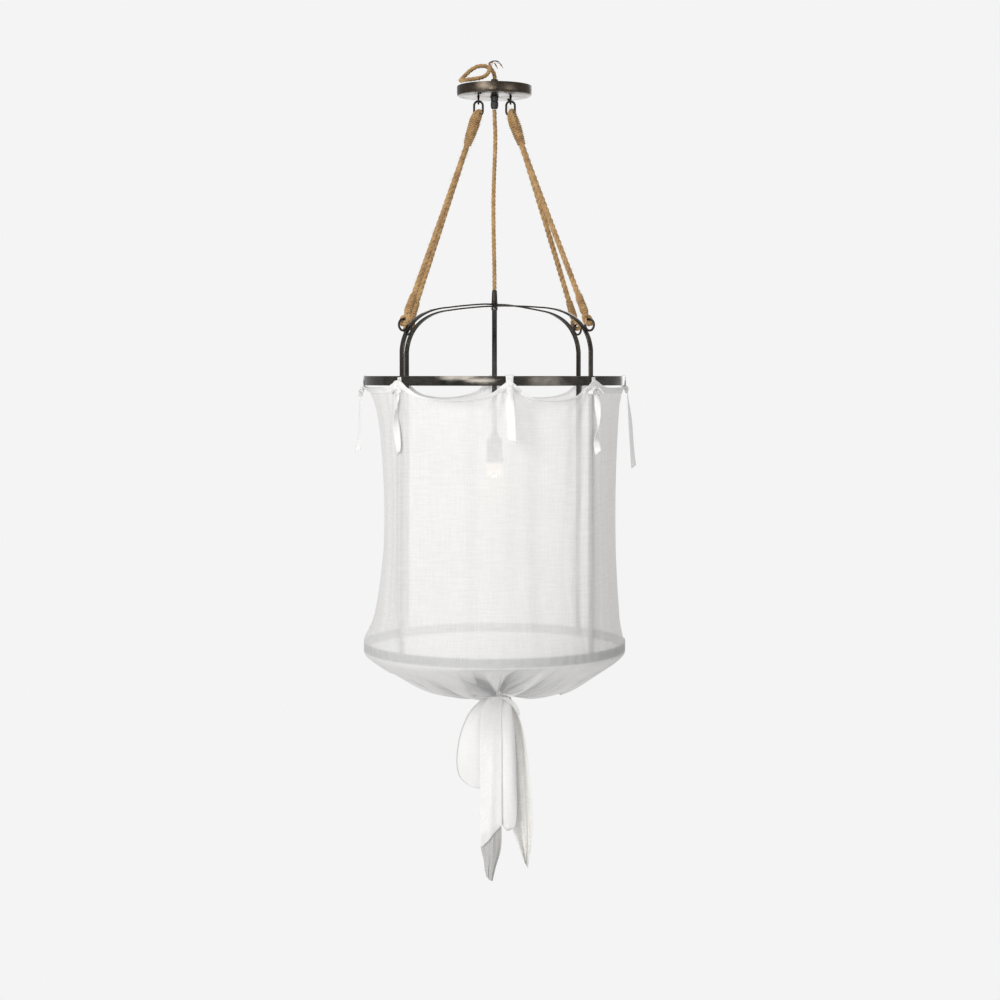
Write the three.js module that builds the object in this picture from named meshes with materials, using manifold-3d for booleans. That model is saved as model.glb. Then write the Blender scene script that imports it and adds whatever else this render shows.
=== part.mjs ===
// Hanging lantern: a gathered cloth cover tied to a steel hoop frame that hangs on four ropes.
// Millimetres, +Z up. The origin is the centre of the canopy's rim, on the ceiling.
import * as THREE from "three";
import { mergeVertices } from "three/addons/utils/BufferGeometryUtils.js";
import Module from "manifold-3d";

const wasm = await Module();
wasm.setup();

// ---------- Driving dimensions ----------
const GAP = 0.3; // between pieces that touch

const CANOPY_D = 138;
const CANOPY_H = 17.5;
const CANOPY_WALL = 1.5;
const CANOPY_LIP = 3; // edge radius under the rim
const CROSSBAR_L = 118;
const CROSSBAR_W = 22;
const CROSSBAR_T = 2.5;
const CROSSBAR_TURN = 56; // degrees from +X
const SCREW_SPREAD = 100;
const SCREW_R = 2;
const HOOK_SPREAD = 59; // between the two eyebolts

const EYE_R = 6; // eyebolt ring, to the wire's centre
const EYE_WIRE_R = 1.75;
const EYE_SHANK_R = 2;
const EYE_SHANK_TOP = -8;
const LINK_W = 16; // link ring, to the wire's centre
const LINK_H = 26;
const LINK_WIRE_R = 2;
const LINK_PLAY = 0.8;

const GRIP_WALL = 3; // cord grip under the canopy, round the cord
const GRIP_BODY_H = 9.5;
const GRIP_CAP_H = 13.5;
const CORD_D = 8; // jute-covered power cord
const CORD_SWING_PLAY = 2.2; // room under the grip, where the hanging cord turns as it swings
const CORD_END_PLAY = 0.8;
const GRIP_D = CORD_D + 2 * GRIP_WALL;
const SLEEVE_WALL = 2.4;
const SLEEVE_H = 12;

const ROPE_D = 10.5;
const SPLICE_ROPE_R = 4.5; // the rope where it turns through an eye
const TOP_LOOP_PLAY = 1;
const LOW_LOOP_PLAY = 2; // room for the ropes and the frame to swing apart a little
const TOP_WHIP_L = 50; // whipping that joins a pair of ropes
const TOP_WHIP_R = 11;
const LOW_SPLICE_L = 42;
const LOW_SPLICE_R = 7;

const RING_D = 480; // both hoops, outside
const RING_H = 17;
const RING_T = 3;
const TOP_RING_Z = -532; // top edge of the upper hoop
const RING_SPACING = 488; // top edge to top edge
const STRAP_T = 3;
const STRAP_EDGE = 0.7; // strap left beside the spigot's hole
const CROWN_H = 130; // strap crossing above the upper hoop
const SHOULDER_EYE_R = 10; // to the wire's centre
const SHOULDER_WIRE_R = 2;
const SHOULDER_AT = 0.7; // place of the eye along the shoulder curve

const POST_D = 9.5;
const POST_BORE = 5.2;
const SPIGOT_R = 4;
const HUB_WALL = 2; // washer and post collar, beyond the spigot
const HUB_R = SPIGOT_R + HUB_WALL;
const STRAP_W = 2 * (SPIGOT_R + GAP + STRAP_EDGE);
const WASHER_T = 2;
const COLLAR_H = 5; // shoulder at the head of the post, under the straps
const FERRULE_H = 22;
const FERRULE_WALL = 1.1;
const FERRULE_TAPER = 0.8;
const FERRULE_BASE_R = SPIGOT_R + GAP + FERRULE_WALL;
const FERRULE_TOP_R = FERRULE_BASE_R - FERRULE_TAPER;
const POST_L = 232.25; // from the straps down to the lampholder

const LAMP_CAP_R = 12.9;
const LAMP_CAP_L = 26;
const LAMP_CAP_PLAY = 0.6; // between the lamp's cap and the lampholder
const HOLDER_CAP_H = 17;
const HOLDER_WALL = 1.3;
const HOLDER_L = 36;
const HOLDER_R = LAMP_CAP_R + LAMP_CAP_PLAY + HOLDER_WALL;
const SHADE_RING_LIP = 3.7;
const SHADE_RING_H = 7;
const SHADE_RING_R = HOLDER_R + SHADE_RING_LIP;
const LAMP_R = 30;
const LAMP_L = 82; // glass only
const GLASS_WALL = 1;

const CLOTH_T = 1.2;
const COVER_TOP = 1.5; // under the upper hoop
const HEM_SAG = 17; // of the front and back bays
const WAIST_DRAW = 36; // middle of a side, halfway down, is drawn in this far from the hoops
const RIGHT_FULLNESS = 0.55; // share of that draw-in the right side lacks
const BOWL_DEPTH = 82; // from the lower hoop's bottom edge to the knot
const BOWL_SAG = 10; // the cloth hangs this far below its gather
const NECK_R = 12;
const KNOT_X = 8; // the cloth is gathered a little off centre
const KNOT_H = 22;
const RIBBON_W = 12;

// ---------- Derived levels ----------
const RING_R = RING_D / 2;
const WAIST_R = RING_R - WAIST_DRAW;
const LOW_RING_Z = TOP_RING_Z - RING_SPACING;
const RING_SIDES = 72;
const RING_FLAT = Math.cos(Math.PI / RING_SIDES); // inner flats of a many-sided hoop
const STRAP_OUT = (RING_R - RING_T) * RING_FLAT - GAP;
const STRAP_R = STRAP_OUT - STRAP_T / 2;
const HOOK_X = HOOK_SPREAD / 2;
const EYE_Z = -(CANOPY_H + GAP + EYE_WIRE_R + EYE_R);
const LINK_TOP_Z = EYE_Z - EYE_R + EYE_WIRE_R + LINK_WIRE_R + LINK_PLAY;
const LINK_LOW_Z = LINK_TOP_Z - LINK_H;
const TOP_LOOP_R = SPLICE_ROPE_R + LINK_WIRE_R + TOP_LOOP_PLAY;
const LOW_LOOP_R = SPLICE_ROPE_R + SHOULDER_WIRE_R + LOW_LOOP_PLAY;
const HOOK_Z = LINK_LOW_Z + TOP_LOOP_R;
const GRIP_BODY_Z = -(CANOPY_H + GAP);
const GRIP_CAP_Z = GRIP_BODY_Z - GRIP_BODY_H - GAP;
const GRIP_END_Z = GRIP_CAP_Z - GRIP_CAP_H;
const CROWN_Z = TOP_RING_Z + CROWN_H;
const LOW_STRAP_Z = CROWN_Z - (STRAP_T + GAP) / 2;
const HIGH_STRAP_Z = CROWN_Z + (STRAP_T + GAP) / 2;
const WASHER_Z = HIGH_STRAP_Z + STRAP_T / 2 + GAP;
const FERRULE_Z = WASHER_Z + WASHER_T + GAP;
const FERRULE_TOP_Z = FERRULE_Z + FERRULE_H;
const COLLAR_Z = LOW_STRAP_Z - STRAP_T / 2 - GAP;
const POST_LOW_Z = COLLAR_Z - POST_L;
const HOLDER_TOP_Z = POST_LOW_Z - GAP;

// ---------- Shape helpers ----------
const v3 = (x, y, z) => new THREE.Vector3(x, y, z);
const v2 = (x, y) => new THREE.Vector2(x, y);
const rad = THREE.MathUtils.degToRad;

function solidOf(geometry) {
  const bare = geometry.index ? geometry.toNonIndexed() : geometry.clone();
  bare.deleteAttribute("normal");
  bare.deleteAttribute("uv");
  const merged = mergeVertices(bare, 1e-4);
  return new wasm.Manifold(
    new wasm.Mesh({
      numProp: 3,
      vertProperties: merged.attributes.position.array,
      triVerts: new Uint32Array(merged.index.array),
    }),
  );
}

function geometryOf(solid) {
  const mesh = solid.getMesh();
  const geometry = new THREE.BufferGeometry();
  geometry.setAttribute("position", new THREE.BufferAttribute(mesh.vertProperties, 3));
  geometry.setIndex(new THREE.BufferAttribute(mesh.triVerts, 1));
  geometry.computeVertexNormals();
  return geometry;
}

const join = (first, ...rest) =>
  geometryOf(rest.reduce((whole, piece) => whole.add(solidOf(piece)), solidOf(first)));
const cut = (first, ...tools) =>
  geometryOf(tools.reduce((whole, tool) => whole.subtract(solidOf(tool)), solidOf(first)));

// A solid of revolution about Z. Its profile is [radius, z] pairs, in either direction.
function lathe(profile, sides = 24, turn = 0) {
  const area = profile.reduce((sum, [r, z], i) => {
    const [nextR, nextZ] = profile[(i + 1) % profile.length];
    return sum + r * nextZ - nextR * z;
  }, 0);
  const points = (area > 0 ? profile : [...profile].reverse()).map(([r, z]) => v2(r, z));
  const closed = profile.some(([r]) => r === 0) ? points : [...points, points[0]];
  return new THREE.LatheGeometry(closed, sides, turn).rotateX(Math.PI / 2);
}

const rod = (r, low, high, sides = 16) =>
  lathe([[0, low], [r, low], [r, high], [0, high]], sides);
const sleeve = (inner, outer, low, high, sides = 24, turn = 0) =>
  lathe([[inner, low], [outer, low], [outer, high], [inner, high]], sides, turn);

function polygon(sides, r) {
  const corner = (i) => (i * 2 * Math.PI) / sides;
  const corners = Array.from({ length: sides }, (_, i) => v2(r * Math.cos(corner(i)), r * Math.sin(corner(i))));
  return new THREE.Shape(corners);
}

function tube(curve, d, sides, steps) {
  return new THREE.ExtrudeGeometry(polygon(sides, d / 2), { extrudePath: curve, steps, bevelEnabled: false });
}

// A flat shape drawn in X and Z, given a thickness along Y about its middle.
function plate(points, thickness) {
  const shape = new THREE.Shape(points.map(([x, z]) => v2(x, z)));
  return new THREE.ExtrudeGeometry(shape, { depth: thickness, bevelEnabled: false })
    .translate(0, 0, -thickness / 2)
    .rotateX(Math.PI / 2);
}

// The outline of a band that follows a line of [x, z] points.
function bandOutline(line, thickness) {
  const side = (sign) =>
    line.map(([x, z], i) => {
      const before = line[Math.max(i - 1, 0)];
      const after = line[Math.min(i + 1, line.length - 1)];
      const run = v2(after[0] - before[0], after[1] - before[1]).normalize();
      return [x - (sign * run.y * thickness) / 2, z + (sign * run.x * thickness) / 2];
    });
  return [...side(1), ...side(-1).reverse()];
}

// A matrix that carries local Z to dir and local Y as near as it can to across.
function facing(at, dir, across) {
  const z = dir.clone().normalize();
  const y = across.clone().addScaledVector(z, -across.dot(z)).normalize();
  const x = y.clone().cross(z);
  return new THREE.Matrix4().makeBasis(x, y, z).setPosition(at);
}

// ---------- Materials ----------
const finish = (color, roughness, metalness) => new THREE.MeshStandardMaterial({ color, roughness, metalness });
const steel = finish(0x2b2724, 0.42, 0.85);
const darkSteel = finish(0x1d1b1a, 0.5, 0.8);
const brass = finish(0xb89a5a, 0.35, 0.9);
const jute = finish(0xbe9664, 0.95, 0);
const gauze = finish(0xf2f0ec, 0.9, 0);
const blackPlastic = finish(0x151515, 0.55, 0);
const whitePlastic = finish(0xe8e6e0, 0.5, 0);
const ceramic = finish(0xefece4, 0.3, 0);
const glass = finish(0xfff4dc, 0.1, 0);

const lantern = new THREE.Group();

function part(name, geometry, material, parent = lantern) {
  const mesh = new THREE.Mesh(geometry, material);
  mesh.name = name;
  parent.add(mesh);
  return mesh;
}

// ---------- Canopy ----------
const screwPlace = (sign) => {
  const reach = (sign * SCREW_SPREAD) / 2;
  return v3(reach * Math.cos(rad(CROSSBAR_TURN)), reach * Math.sin(rad(CROSSBAR_TURN)), 0);
};
const HOLE_R = SCREW_R + GAP;
const SHANK_HOLE_R = EYE_SHANK_R + GAP;
const NIPPLE_R = GRIP_D / 2 - 1;
const CORD_BORE_R = CORD_D / 2 + GAP;

function canopyDish() {
  const R = CANOPY_D / 2;
  const floor = -CANOPY_H;
  const dish = lathe(
    [
      [NIPPLE_R + GAP, floor],
      [R - CANOPY_LIP, floor],
      [R - CANOPY_LIP * 0.3, floor + CANOPY_LIP * 0.3],
      [R, floor + CANOPY_LIP],
      [R, 0],
      [R - CANOPY_WALL, 0],
      [R - CANOPY_WALL, floor + CANOPY_LIP],
      [R - CANOPY_LIP, floor + CANOPY_WALL],
      [NIPPLE_R + GAP, floor + CANOPY_WALL],
    ],
    40,
  );
  const drill = (at, r) => rod(r, floor - 1, floor + CANOPY_WALL + 1, 12).translate(at.x, at.y, 0);
  return cut(
    dish,
    drill(screwPlace(1), HOLE_R),
    drill(screwPlace(-1), HOLE_R),
    drill(v3(HOOK_X, 0, 0), SHANK_HOLE_R),
    drill(v3(-HOOK_X, 0, 0), SHANK_HOLE_R),
  );
}

function crossbar() {
  const bar = new THREE.BoxGeometry(CROSSBAR_L, CROSSBAR_W, CROSSBAR_T)
    .rotateZ(rad(CROSSBAR_TURN))
    .translate(0, 0, -GAP - CROSSBAR_T / 2);
  const drill = (at, r) => rod(r, -CROSSBAR_T - 2, 1, 12).translate(at.x, at.y, 0);
  return cut(bar, drill(screwPlace(1), HOLE_R), drill(screwPlace(-1), HOLE_R), drill(v3(0, 0, 0), NIPPLE_R));
}

function canopyScrew(sign) {
  const at = screwPlace(sign);
  const head = -CANOPY_H - GAP;
  return lathe(
    [[0, head - 2.4], [2.6, head - 1.8], [4, head], [SCREW_R, head], [SCREW_R, 1.5], [0, 1.5]],
    12,
  ).translate(at.x, at.y, 0);
}

function eyebolt(sign) {
  const eye = new THREE.TorusGeometry(EYE_R, EYE_WIRE_R, 6, 16).rotateY(Math.PI / 2);
  const shank = rod(EYE_SHANK_R, EYE_R - 0.8, EYE_SHANK_TOP - EYE_Z, 10);
  return join(eye, shank).translate(sign * HOOK_X, 0, EYE_Z);
}

function hexNut(boreR, acrossR, low, high) {
  const shape = polygon(6, acrossR);
  const bore = new THREE.Path();
  bore.absarc(0, 0, boreR, 0, 2 * Math.PI, true);
  shape.holes.push(bore);
  return new THREE.ExtrudeGeometry(shape, { depth: high - low, bevelEnabled: false, curveSegments: 8 }).translate(
    0,
    0,
    low,
  );
}

const FLOOR_TOP = -CANOPY_H + CANOPY_WALL + GAP;
part("canopy_dish", canopyDish(), steel);
part("mounting_crossbar", crossbar(), darkSteel);
part("canopy_screw_1", canopyScrew(1), darkSteel);
part("canopy_screw_2", canopyScrew(-1), darkSteel);
for (const [side, sign] of [["left", -1], ["right", 1]]) {
  part(`eyebolt_${side}`, eyebolt(sign), darkSteel);
  const nut = hexNut(SHANK_HOLE_R, 4.4, FLOOR_TOP, FLOOR_TOP + 3.2);
  part(`eyebolt_nut_${side}`, nut.translate(sign * HOOK_X, 0, 0), darkSteel);
}

// ---------- Cord grip, and the surplus cord above the canopy ----------
const NIPPLE_TOP = FLOOR_TOP + 7;
part(
  "cord_grip_body",
  lathe(
    [
      [CORD_BORE_R, GRIP_BODY_Z - GRIP_BODY_H],
      [GRIP_D / 2 - 0.8, GRIP_BODY_Z - GRIP_BODY_H],
      [GRIP_D / 2 + 0.6, GRIP_BODY_Z - 3],
      [GRIP_D / 2 + 0.6, GRIP_BODY_Z],
      [NIPPLE_R, GRIP_BODY_Z],
      [NIPPLE_R, NIPPLE_TOP],
      [CORD_BORE_R, NIPPLE_TOP],
    ],
    20,
  ),
  steel,
);
part(
  "cord_grip_cap",
  lathe(
    [
      [CORD_BORE_R, GRIP_END_Z],
      [GRIP_D / 2 - 1.5, GRIP_END_Z],
      [GRIP_D / 2, GRIP_END_Z + 2.5],
      [GRIP_D / 2, GRIP_CAP_Z],
      [CORD_BORE_R, GRIP_CAP_Z],
    ],
    20,
  ),
  brass,
);

// The cord comes up through the grip, arches left over the rim and doubles back; its points are chosen.
const SURPLUS_ROUTE = [
  v3(0, 0, GRIP_END_Z + GAP),
  v3(0, 0, -26),
  v3(0, 0, -10),
  v3(0, 0, 6),
  v3(0, 0, 20),
  v3(-5, 2, 31),
  v3(-16, 5, 38),
  v3(-30, 6, 38),
  v3(-43, 4, 31),
  v3(-53, -2, 21),
  v3(-60, -12, 12),
  v3(-62, -26, 7),
  v3(-54, -37, 6.5),
  v3(-41, -40, 7.5),
  v3(-28, -36, 10),
  v3(-18, -28, 15),
  v3(-12, -19, 22),
  v3(-9, -13, 30),
  v3(-8, -10, 36),
];
part("surplus_cord", tube(new THREE.CatmullRomCurve3(SURPLUS_ROUTE), CORD_D, 8, 34), jute);
part("cord_sleeve", sleeve(CORD_BORE_R, CORD_BORE_R + SLEEVE_WALL, 1, 1 + SLEEVE_H, 16), blackPlastic);

const WIRE_D = 2.2;
const WIRES = [
  ["live_wire", blackPlastic, [v3(-9.8, -11.6, 38), v3(-10, -12, 41), v3(-3, -10, 45), v3(6, -6, 45), v3(13, -2, 38)]],
  ["neutral_wire", whitePlastic, [v3(-6, -11.2, 38), v3(-4, -13, 40), v3(2, -15, 42), v3(9, -15, 40)]],
  ["earth_wire", brass, [v3(-7.9, -7.7, 37.6), v3(-8, -5, 41), v3(-5, 0, 44), v3(0, 6, 44), v3(4, 12, 39)]],
];
for (const [name, material, points] of WIRES)
  part(name, tube(new THREE.CatmullRomCurve3(points), WIRE_D, 8, 9), material);

// ---------- Straps, hoops and shoulder eyes ----------
// The shoulder turns from the nearly level crown to the upright leg.
const shoulder = new THREE.CubicBezierCurve(
  v2(125, TOP_RING_Z + CROWN_H - 7),
  v2(STRAP_R - 47, TOP_RING_Z + CROWN_H - 12),
  v2(STRAP_R - 5, TOP_RING_Z + CROWN_H - 38),
  v2(STRAP_R, TOP_RING_Z + 45),
);
const shoulderPoint = (t) => [shoulder.getPoint(t).x, shoulder.getPoint(t).y];

function strap(crownZ) {
  const half = [
    [0, crownZ],
    [30, crownZ],
    [80, crownZ + (CROWN_Z - crownZ) / 2 - 3],
    ...Array.from({ length: 11 }, (_, i) => shoulderPoint(i / 10)),
    [STRAP_R, LOW_RING_Z - RING_H],
  ];
  const line = [...half.slice(1).reverse().map(([r, z]) => [-r, z]), ...half];
  return cut(plate(bandOutline(line, STRAP_T), STRAP_W), rod(SPIGOT_R + GAP, crownZ - 9, crownZ + 9, 12));
}

part("strap_front_left_to_back_right", strap(LOW_STRAP_Z).rotateZ(rad(-45)), steel);
part("strap_front_right_to_back_left", strap(HIGH_STRAP_Z).rotateZ(rad(45)), steel);

const hoop = (top) => sleeve(RING_R - RING_T, RING_R, top - RING_H, top, RING_SIDES, Math.PI / RING_SIDES);
part("top_ring", hoop(TOP_RING_Z), steel);
part("bottom_ring", hoop(LOW_RING_Z), steel);

const CORNERS = [
  ["front_left", -1, -1],
  ["front_right", 1, -1],
  ["back_left", -1, 1],
  ["back_right", 1, 1],
];
const shoulderRun = shoulder.getTangent(SHOULDER_AT);
const eyeReach = STRAP_T / 2 + GAP + SHOULDER_WIRE_R + SHOULDER_EYE_R;
const SHOULDER_EYE = {
  r: shoulder.getPoint(SHOULDER_AT).x - shoulderRun.y * eyeReach,
  z: shoulder.getPoint(SHOULDER_AT).y + shoulderRun.x * eyeReach,
};
for (const [corner, sx, sy] of CORNERS) {
  const out = v3(sx, sy, 0).normalize();
  const at = out.clone().multiplyScalar(SHOULDER_EYE.r).setZ(SHOULDER_EYE.z);
  const eye = new THREE.TorusGeometry(SHOULDER_EYE_R, SHOULDER_WIRE_R, 6, 14);
  const hole = v3(-out.y, out.x, 0);
  part(`shoulder_eye_${corner}`, eye.applyMatrix4(facing(at, hole, out)), darkSteel);
}

// ---------- Hub, post and ferrule ----------
part("hub_washer", sleeve(SPIGOT_R + GAP, HUB_R, WASHER_Z, WASHER_Z + WASHER_T, 20), steel);
part(
  "cord_ferrule",
  lathe(
    [
      [SPIGOT_R + GAP, FERRULE_Z],
      [FERRULE_BASE_R, FERRULE_Z],
      [FERRULE_TOP_R, FERRULE_TOP_Z],
      [POST_BORE / 2, FERRULE_TOP_Z],
      [POST_BORE / 2, FERRULE_Z + 8 + GAP],
      [SPIGOT_R + GAP, FERRULE_Z + 8 + GAP],
    ],
    20,
  ),
  darkSteel,
);
part(
  "centre_post",
  lathe(
    [
      [POST_BORE / 2, POST_LOW_Z],
      [POST_D / 2, POST_LOW_Z],
      [POST_D / 2, COLLAR_Z - COLLAR_H],
      [HUB_R, COLLAR_Z - COLLAR_H],
      [HUB_R, COLLAR_Z],
      [SPIGOT_R, COLLAR_Z],
      [SPIGOT_R, FERRULE_Z + 8],
      [POST_BORE / 2, FERRULE_Z + 8],
    ],
    20,
  ),
  steel,
);
const HOLDER_LOW_Z = HOLDER_TOP_Z - HOLDER_CAP_H - GAP;
part("inner_flex", rod(POST_BORE / 2 - GAP, HOLDER_LOW_Z + GAP, FERRULE_TOP_Z - GAP, 8), whitePlastic);

// ---------- Lampholder and lamp ----------
part(
  "lampholder_cap",
  lathe(
    [
      [POST_BORE / 2, HOLDER_TOP_Z],
      [POST_D / 2 + 1.5, HOLDER_TOP_Z],
      [POST_D / 2 + 3, HOLDER_TOP_Z - 5],
      [HOLDER_R - 2.5, HOLDER_TOP_Z - 9],
      [HOLDER_R, HOLDER_TOP_Z - 13],
      [HOLDER_R, HOLDER_TOP_Z - HOLDER_CAP_H],
      [POST_BORE / 2, HOLDER_TOP_Z - HOLDER_CAP_H],
    ],
    20,
  ),
  blackPlastic,
);
const holderBore = HOLDER_R - HOLDER_WALL;
part("lampholder_body", sleeve(holderBore, HOLDER_R, HOLDER_LOW_Z - HOLDER_L, HOLDER_LOW_Z, 24), blackPlastic);
const CONTACT_LOW = HOLDER_LOW_Z - 7;
part("contact_block", rod(holderBore - GAP, CONTACT_LOW, HOLDER_LOW_Z - 1, 20), ceramic);
const SHADE_RING_TOP = HOLDER_LOW_Z - HOLDER_L + SHADE_RING_H;
part(
  "lampholder_shade_ring",
  lathe(
    [
      [HOLDER_R + GAP, SHADE_RING_TOP - SHADE_RING_H],
      [HOLDER_R + 1.8, SHADE_RING_TOP - SHADE_RING_H],
      [HOLDER_R + 1.8, SHADE_RING_TOP - 2.2],
      [SHADE_RING_R, SHADE_RING_TOP - 2.2],
      [SHADE_RING_R, SHADE_RING_TOP],
      [HOLDER_R + GAP, SHADE_RING_TOP],
    ],
    20,
  ),
  blackPlastic,
);

const LAMP_CAP_TOP = CONTACT_LOW - GAP;
const THREAD_DEPTH = 0.9;
const threads = Array.from({ length: 7 }, (_, i) => [
  LAMP_CAP_R - (i % 2) * THREAD_DEPTH,
  LAMP_CAP_TOP - 6 - i * 2.4,
]);
part(
  "bulb_screw_cap",
  lathe(
    [[0, LAMP_CAP_TOP], [5, LAMP_CAP_TOP], [9, LAMP_CAP_TOP - 4], ...threads]
      .concat([[LAMP_CAP_R, LAMP_CAP_TOP - LAMP_CAP_L], [0, LAMP_CAP_TOP - LAMP_CAP_L]]),
    20,
  ),
  brass,
);
const GLASS_TOP = LAMP_CAP_TOP - LAMP_CAP_L - GAP;
const ballZ = GLASS_TOP - LAMP_L + LAMP_R;
// The glass is a thin shell, open at its neck; its two walls meet only there.
function glassWall(inset) {
  const neck = [[LAMP_CAP_R - inset, GLASS_TOP], [LAMP_CAP_R + 1.5 - inset, GLASS_TOP - 8]];
  const ball = Array.from({ length: 11 }, (_, i) => {
    const turn = rad(55 - i * 14.5);
    const r = LAMP_R - inset;
    return [i === 10 ? 0 : r * Math.cos(turn), ballZ + r * Math.sin(turn)];
  });
  return [...neck, ...ball];
}
const glassShell = new THREE.LatheGeometry(
  [...glassWall(0).reverse(), ...glassWall(GLASS_WALL)].map(([r, z]) => v2(r, z)),
  20,
);
part("bulb_glass", glassShell.rotateX(Math.PI / 2), glass);

// ---------- Link rings, ropes and their splices ----------
function linkRing(sign) {
  const ring = new THREE.TorusGeometry(LINK_W / 2, LINK_WIRE_R, 6, 16).rotateX(Math.PI / 2);
  const stretch = (LINK_H - LINK_W) / 2;
  const spots = ring.attributes.position;
  const turnAt = (i) => Math.atan2(spots.getZ(i), spots.getX(i));
  for (let i = 0; i < spots.count; i++)
    if (Math.abs(Math.sin(turnAt(i))) > 0.01) spots.setZ(i, spots.getZ(i) + stretch * Math.sign(turnAt(i)));
  return ring.translate(sign * HOOK_X, 0, (LINK_TOP_Z + LINK_LOW_Z) / 2);
}

// A rope end turned through an eye and whipped back on itself: the loop is centred on the local
// origin, round local X, and the whipping runs up local Z.
function splice(loopR, whipR, whipL) {
  const loop = new THREE.TorusGeometry(loopR, SPLICE_ROPE_R, 8, 12).rotateY(Math.PI / 2);
  const start = loopR - 0.5;
  const end = loopR + whipL;
  const whipping = lathe(
    [[0, start], [SPLICE_ROPE_R + 1, start], [whipR, start + 12], [whipR - 0.4, end], [0, end]],
    12,
  );
  return join(loop, whipping);
}

// Where a rope bears on its shoulder eye: the point of the ring that faces the link ring above.
function bearing([, sx, sy]) {
  const out = v3(sx, sy, 0).normalize();
  const centre = out.clone().multiplyScalar(SHOULDER_EYE.r).setZ(SHOULDER_EYE.z);
  const pull = v3(sx * HOOK_X, 0, HOOK_Z).sub(centre);
  const inPlane = v3(0, 0, pull.z).addScaledVector(out, pull.dot(out)).normalize();
  return centre.addScaledVector(inPlane, SHOULDER_EYE_R);
}

for (const [side, sign] of [["left", -1], ["right", 1]]) {
  part(`link_ring_${side}`, linkRing(sign), darkSteel);
  const hook = v3(sign * HOOK_X, 0, HOOK_Z);
  const down = bearing(["", sign, 1]).setY(0).sub(hook).normalize();
  const loopCentre = hook.clone().addScaledVector(down, TOP_LOOP_R);
  const collar = splice(TOP_LOOP_R, TOP_WHIP_R, TOP_WHIP_L);
  part(`rope_collar_${side}`, collar.applyMatrix4(facing(loopCentre, down, v3(0, 1, 0))), jute);
  const collarEnd = loopCentre.clone().addScaledVector(down, TOP_LOOP_R + TOP_WHIP_L + GAP);
  for (const corner of CORNERS.filter((c) => c[1] === sign)) {
    const start = collarEnd.clone().add(v3(0, (corner[2] * (ROPE_D + GAP)) / 2, 0));
    const eye = bearing(corner);
    const up = start.clone().sub(eye).normalize();
    const across = v3(-corner[2], corner[1], 0);
    const foot = splice(LOW_LOOP_R, LOW_SPLICE_R, LOW_SPLICE_L);
    part(`rope_splice_${corner[0]}`, foot.applyMatrix4(facing(eye, up, across)), jute);
    const end = eye.clone().addScaledVector(up, LOW_LOOP_R + LOW_SPLICE_L + GAP);
    const bend = start.distanceTo(end) * 0.12;
    const leg = new THREE.CubicBezierCurve3(
      start,
      start.clone().addScaledVector(down, bend),
      end.clone().addScaledVector(up, bend),
      end,
    );
    part(`rope_${corner[0]}`, tube(leg, ROPE_D, 8, 14), jute);
  }
}

// The stretch of power cord between the grip and the ferrule; its points are chosen.
const HANGING_ROUTE = [
  v3(0, 0, GRIP_END_Z - CORD_SWING_PLAY),
  v3(0.4, 0, -62),
  v3(1.6, 0.4, -92),
  v3(0.4, 0.6, -135),
  v3(-1.4, 0, -182),
  v3(-2, -0.6, -230),
  v3(-1.4, -0.4, -280),
  v3(-0.3, 0, -330),
  v3(0, 0, FERRULE_TOP_Z + CORD_END_PLAY),
];
part("hanging_cord", tube(new THREE.CatmullRomCurve3(HANGING_ROUTE), CORD_D, 8, 18), jute);

// ---------- Cloth cover ----------
// Over the four straps the cloth stands at the radius "corner", and between them at "middle".
const COVER_SIDES = 32;
const COVER_CORNER = STRAP_OUT + 3.8;
const COVER_RING_R = (RING_R + GAP) / Math.cos(Math.PI / COVER_SIDES) + CLOTH_T / 2;
const COVER_TOP_Z = TOP_RING_Z - RING_H - COVER_TOP;
const LOW_EDGE_Z = LOW_RING_Z - RING_H;
const bowlZ = (share) => LOW_EDGE_Z - 1.5 - share * (BOWL_DEPTH - 1.5);

// A side is an arc through its middle and its two corners.
function sideRadius(turn, middle, corner) {
  const off = rad(Math.abs(((turn + 45 + 360) % 90) - 45));
  const flat = corner * Math.SQRT1_2;
  const arcR = ((flat - middle) ** 2 + flat ** 2) / (2 * (middle - flat));
  const arcX = middle - arcR;
  return arcX * Math.cos(off) + Math.sqrt(arcR ** 2 - (arcX * Math.sin(off)) ** 2);
}

// Front and back bays hang between their ties; side bays are nearly level.
function hemDrop(turn) {
  const bay = Math.abs(Math.sin(rad(turn * 4)));
  return HEM_SAG * bay * (Math.abs(Math.sin(rad(turn))) > Math.SQRT1_2 ? 1 : 0.15);
}

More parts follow.
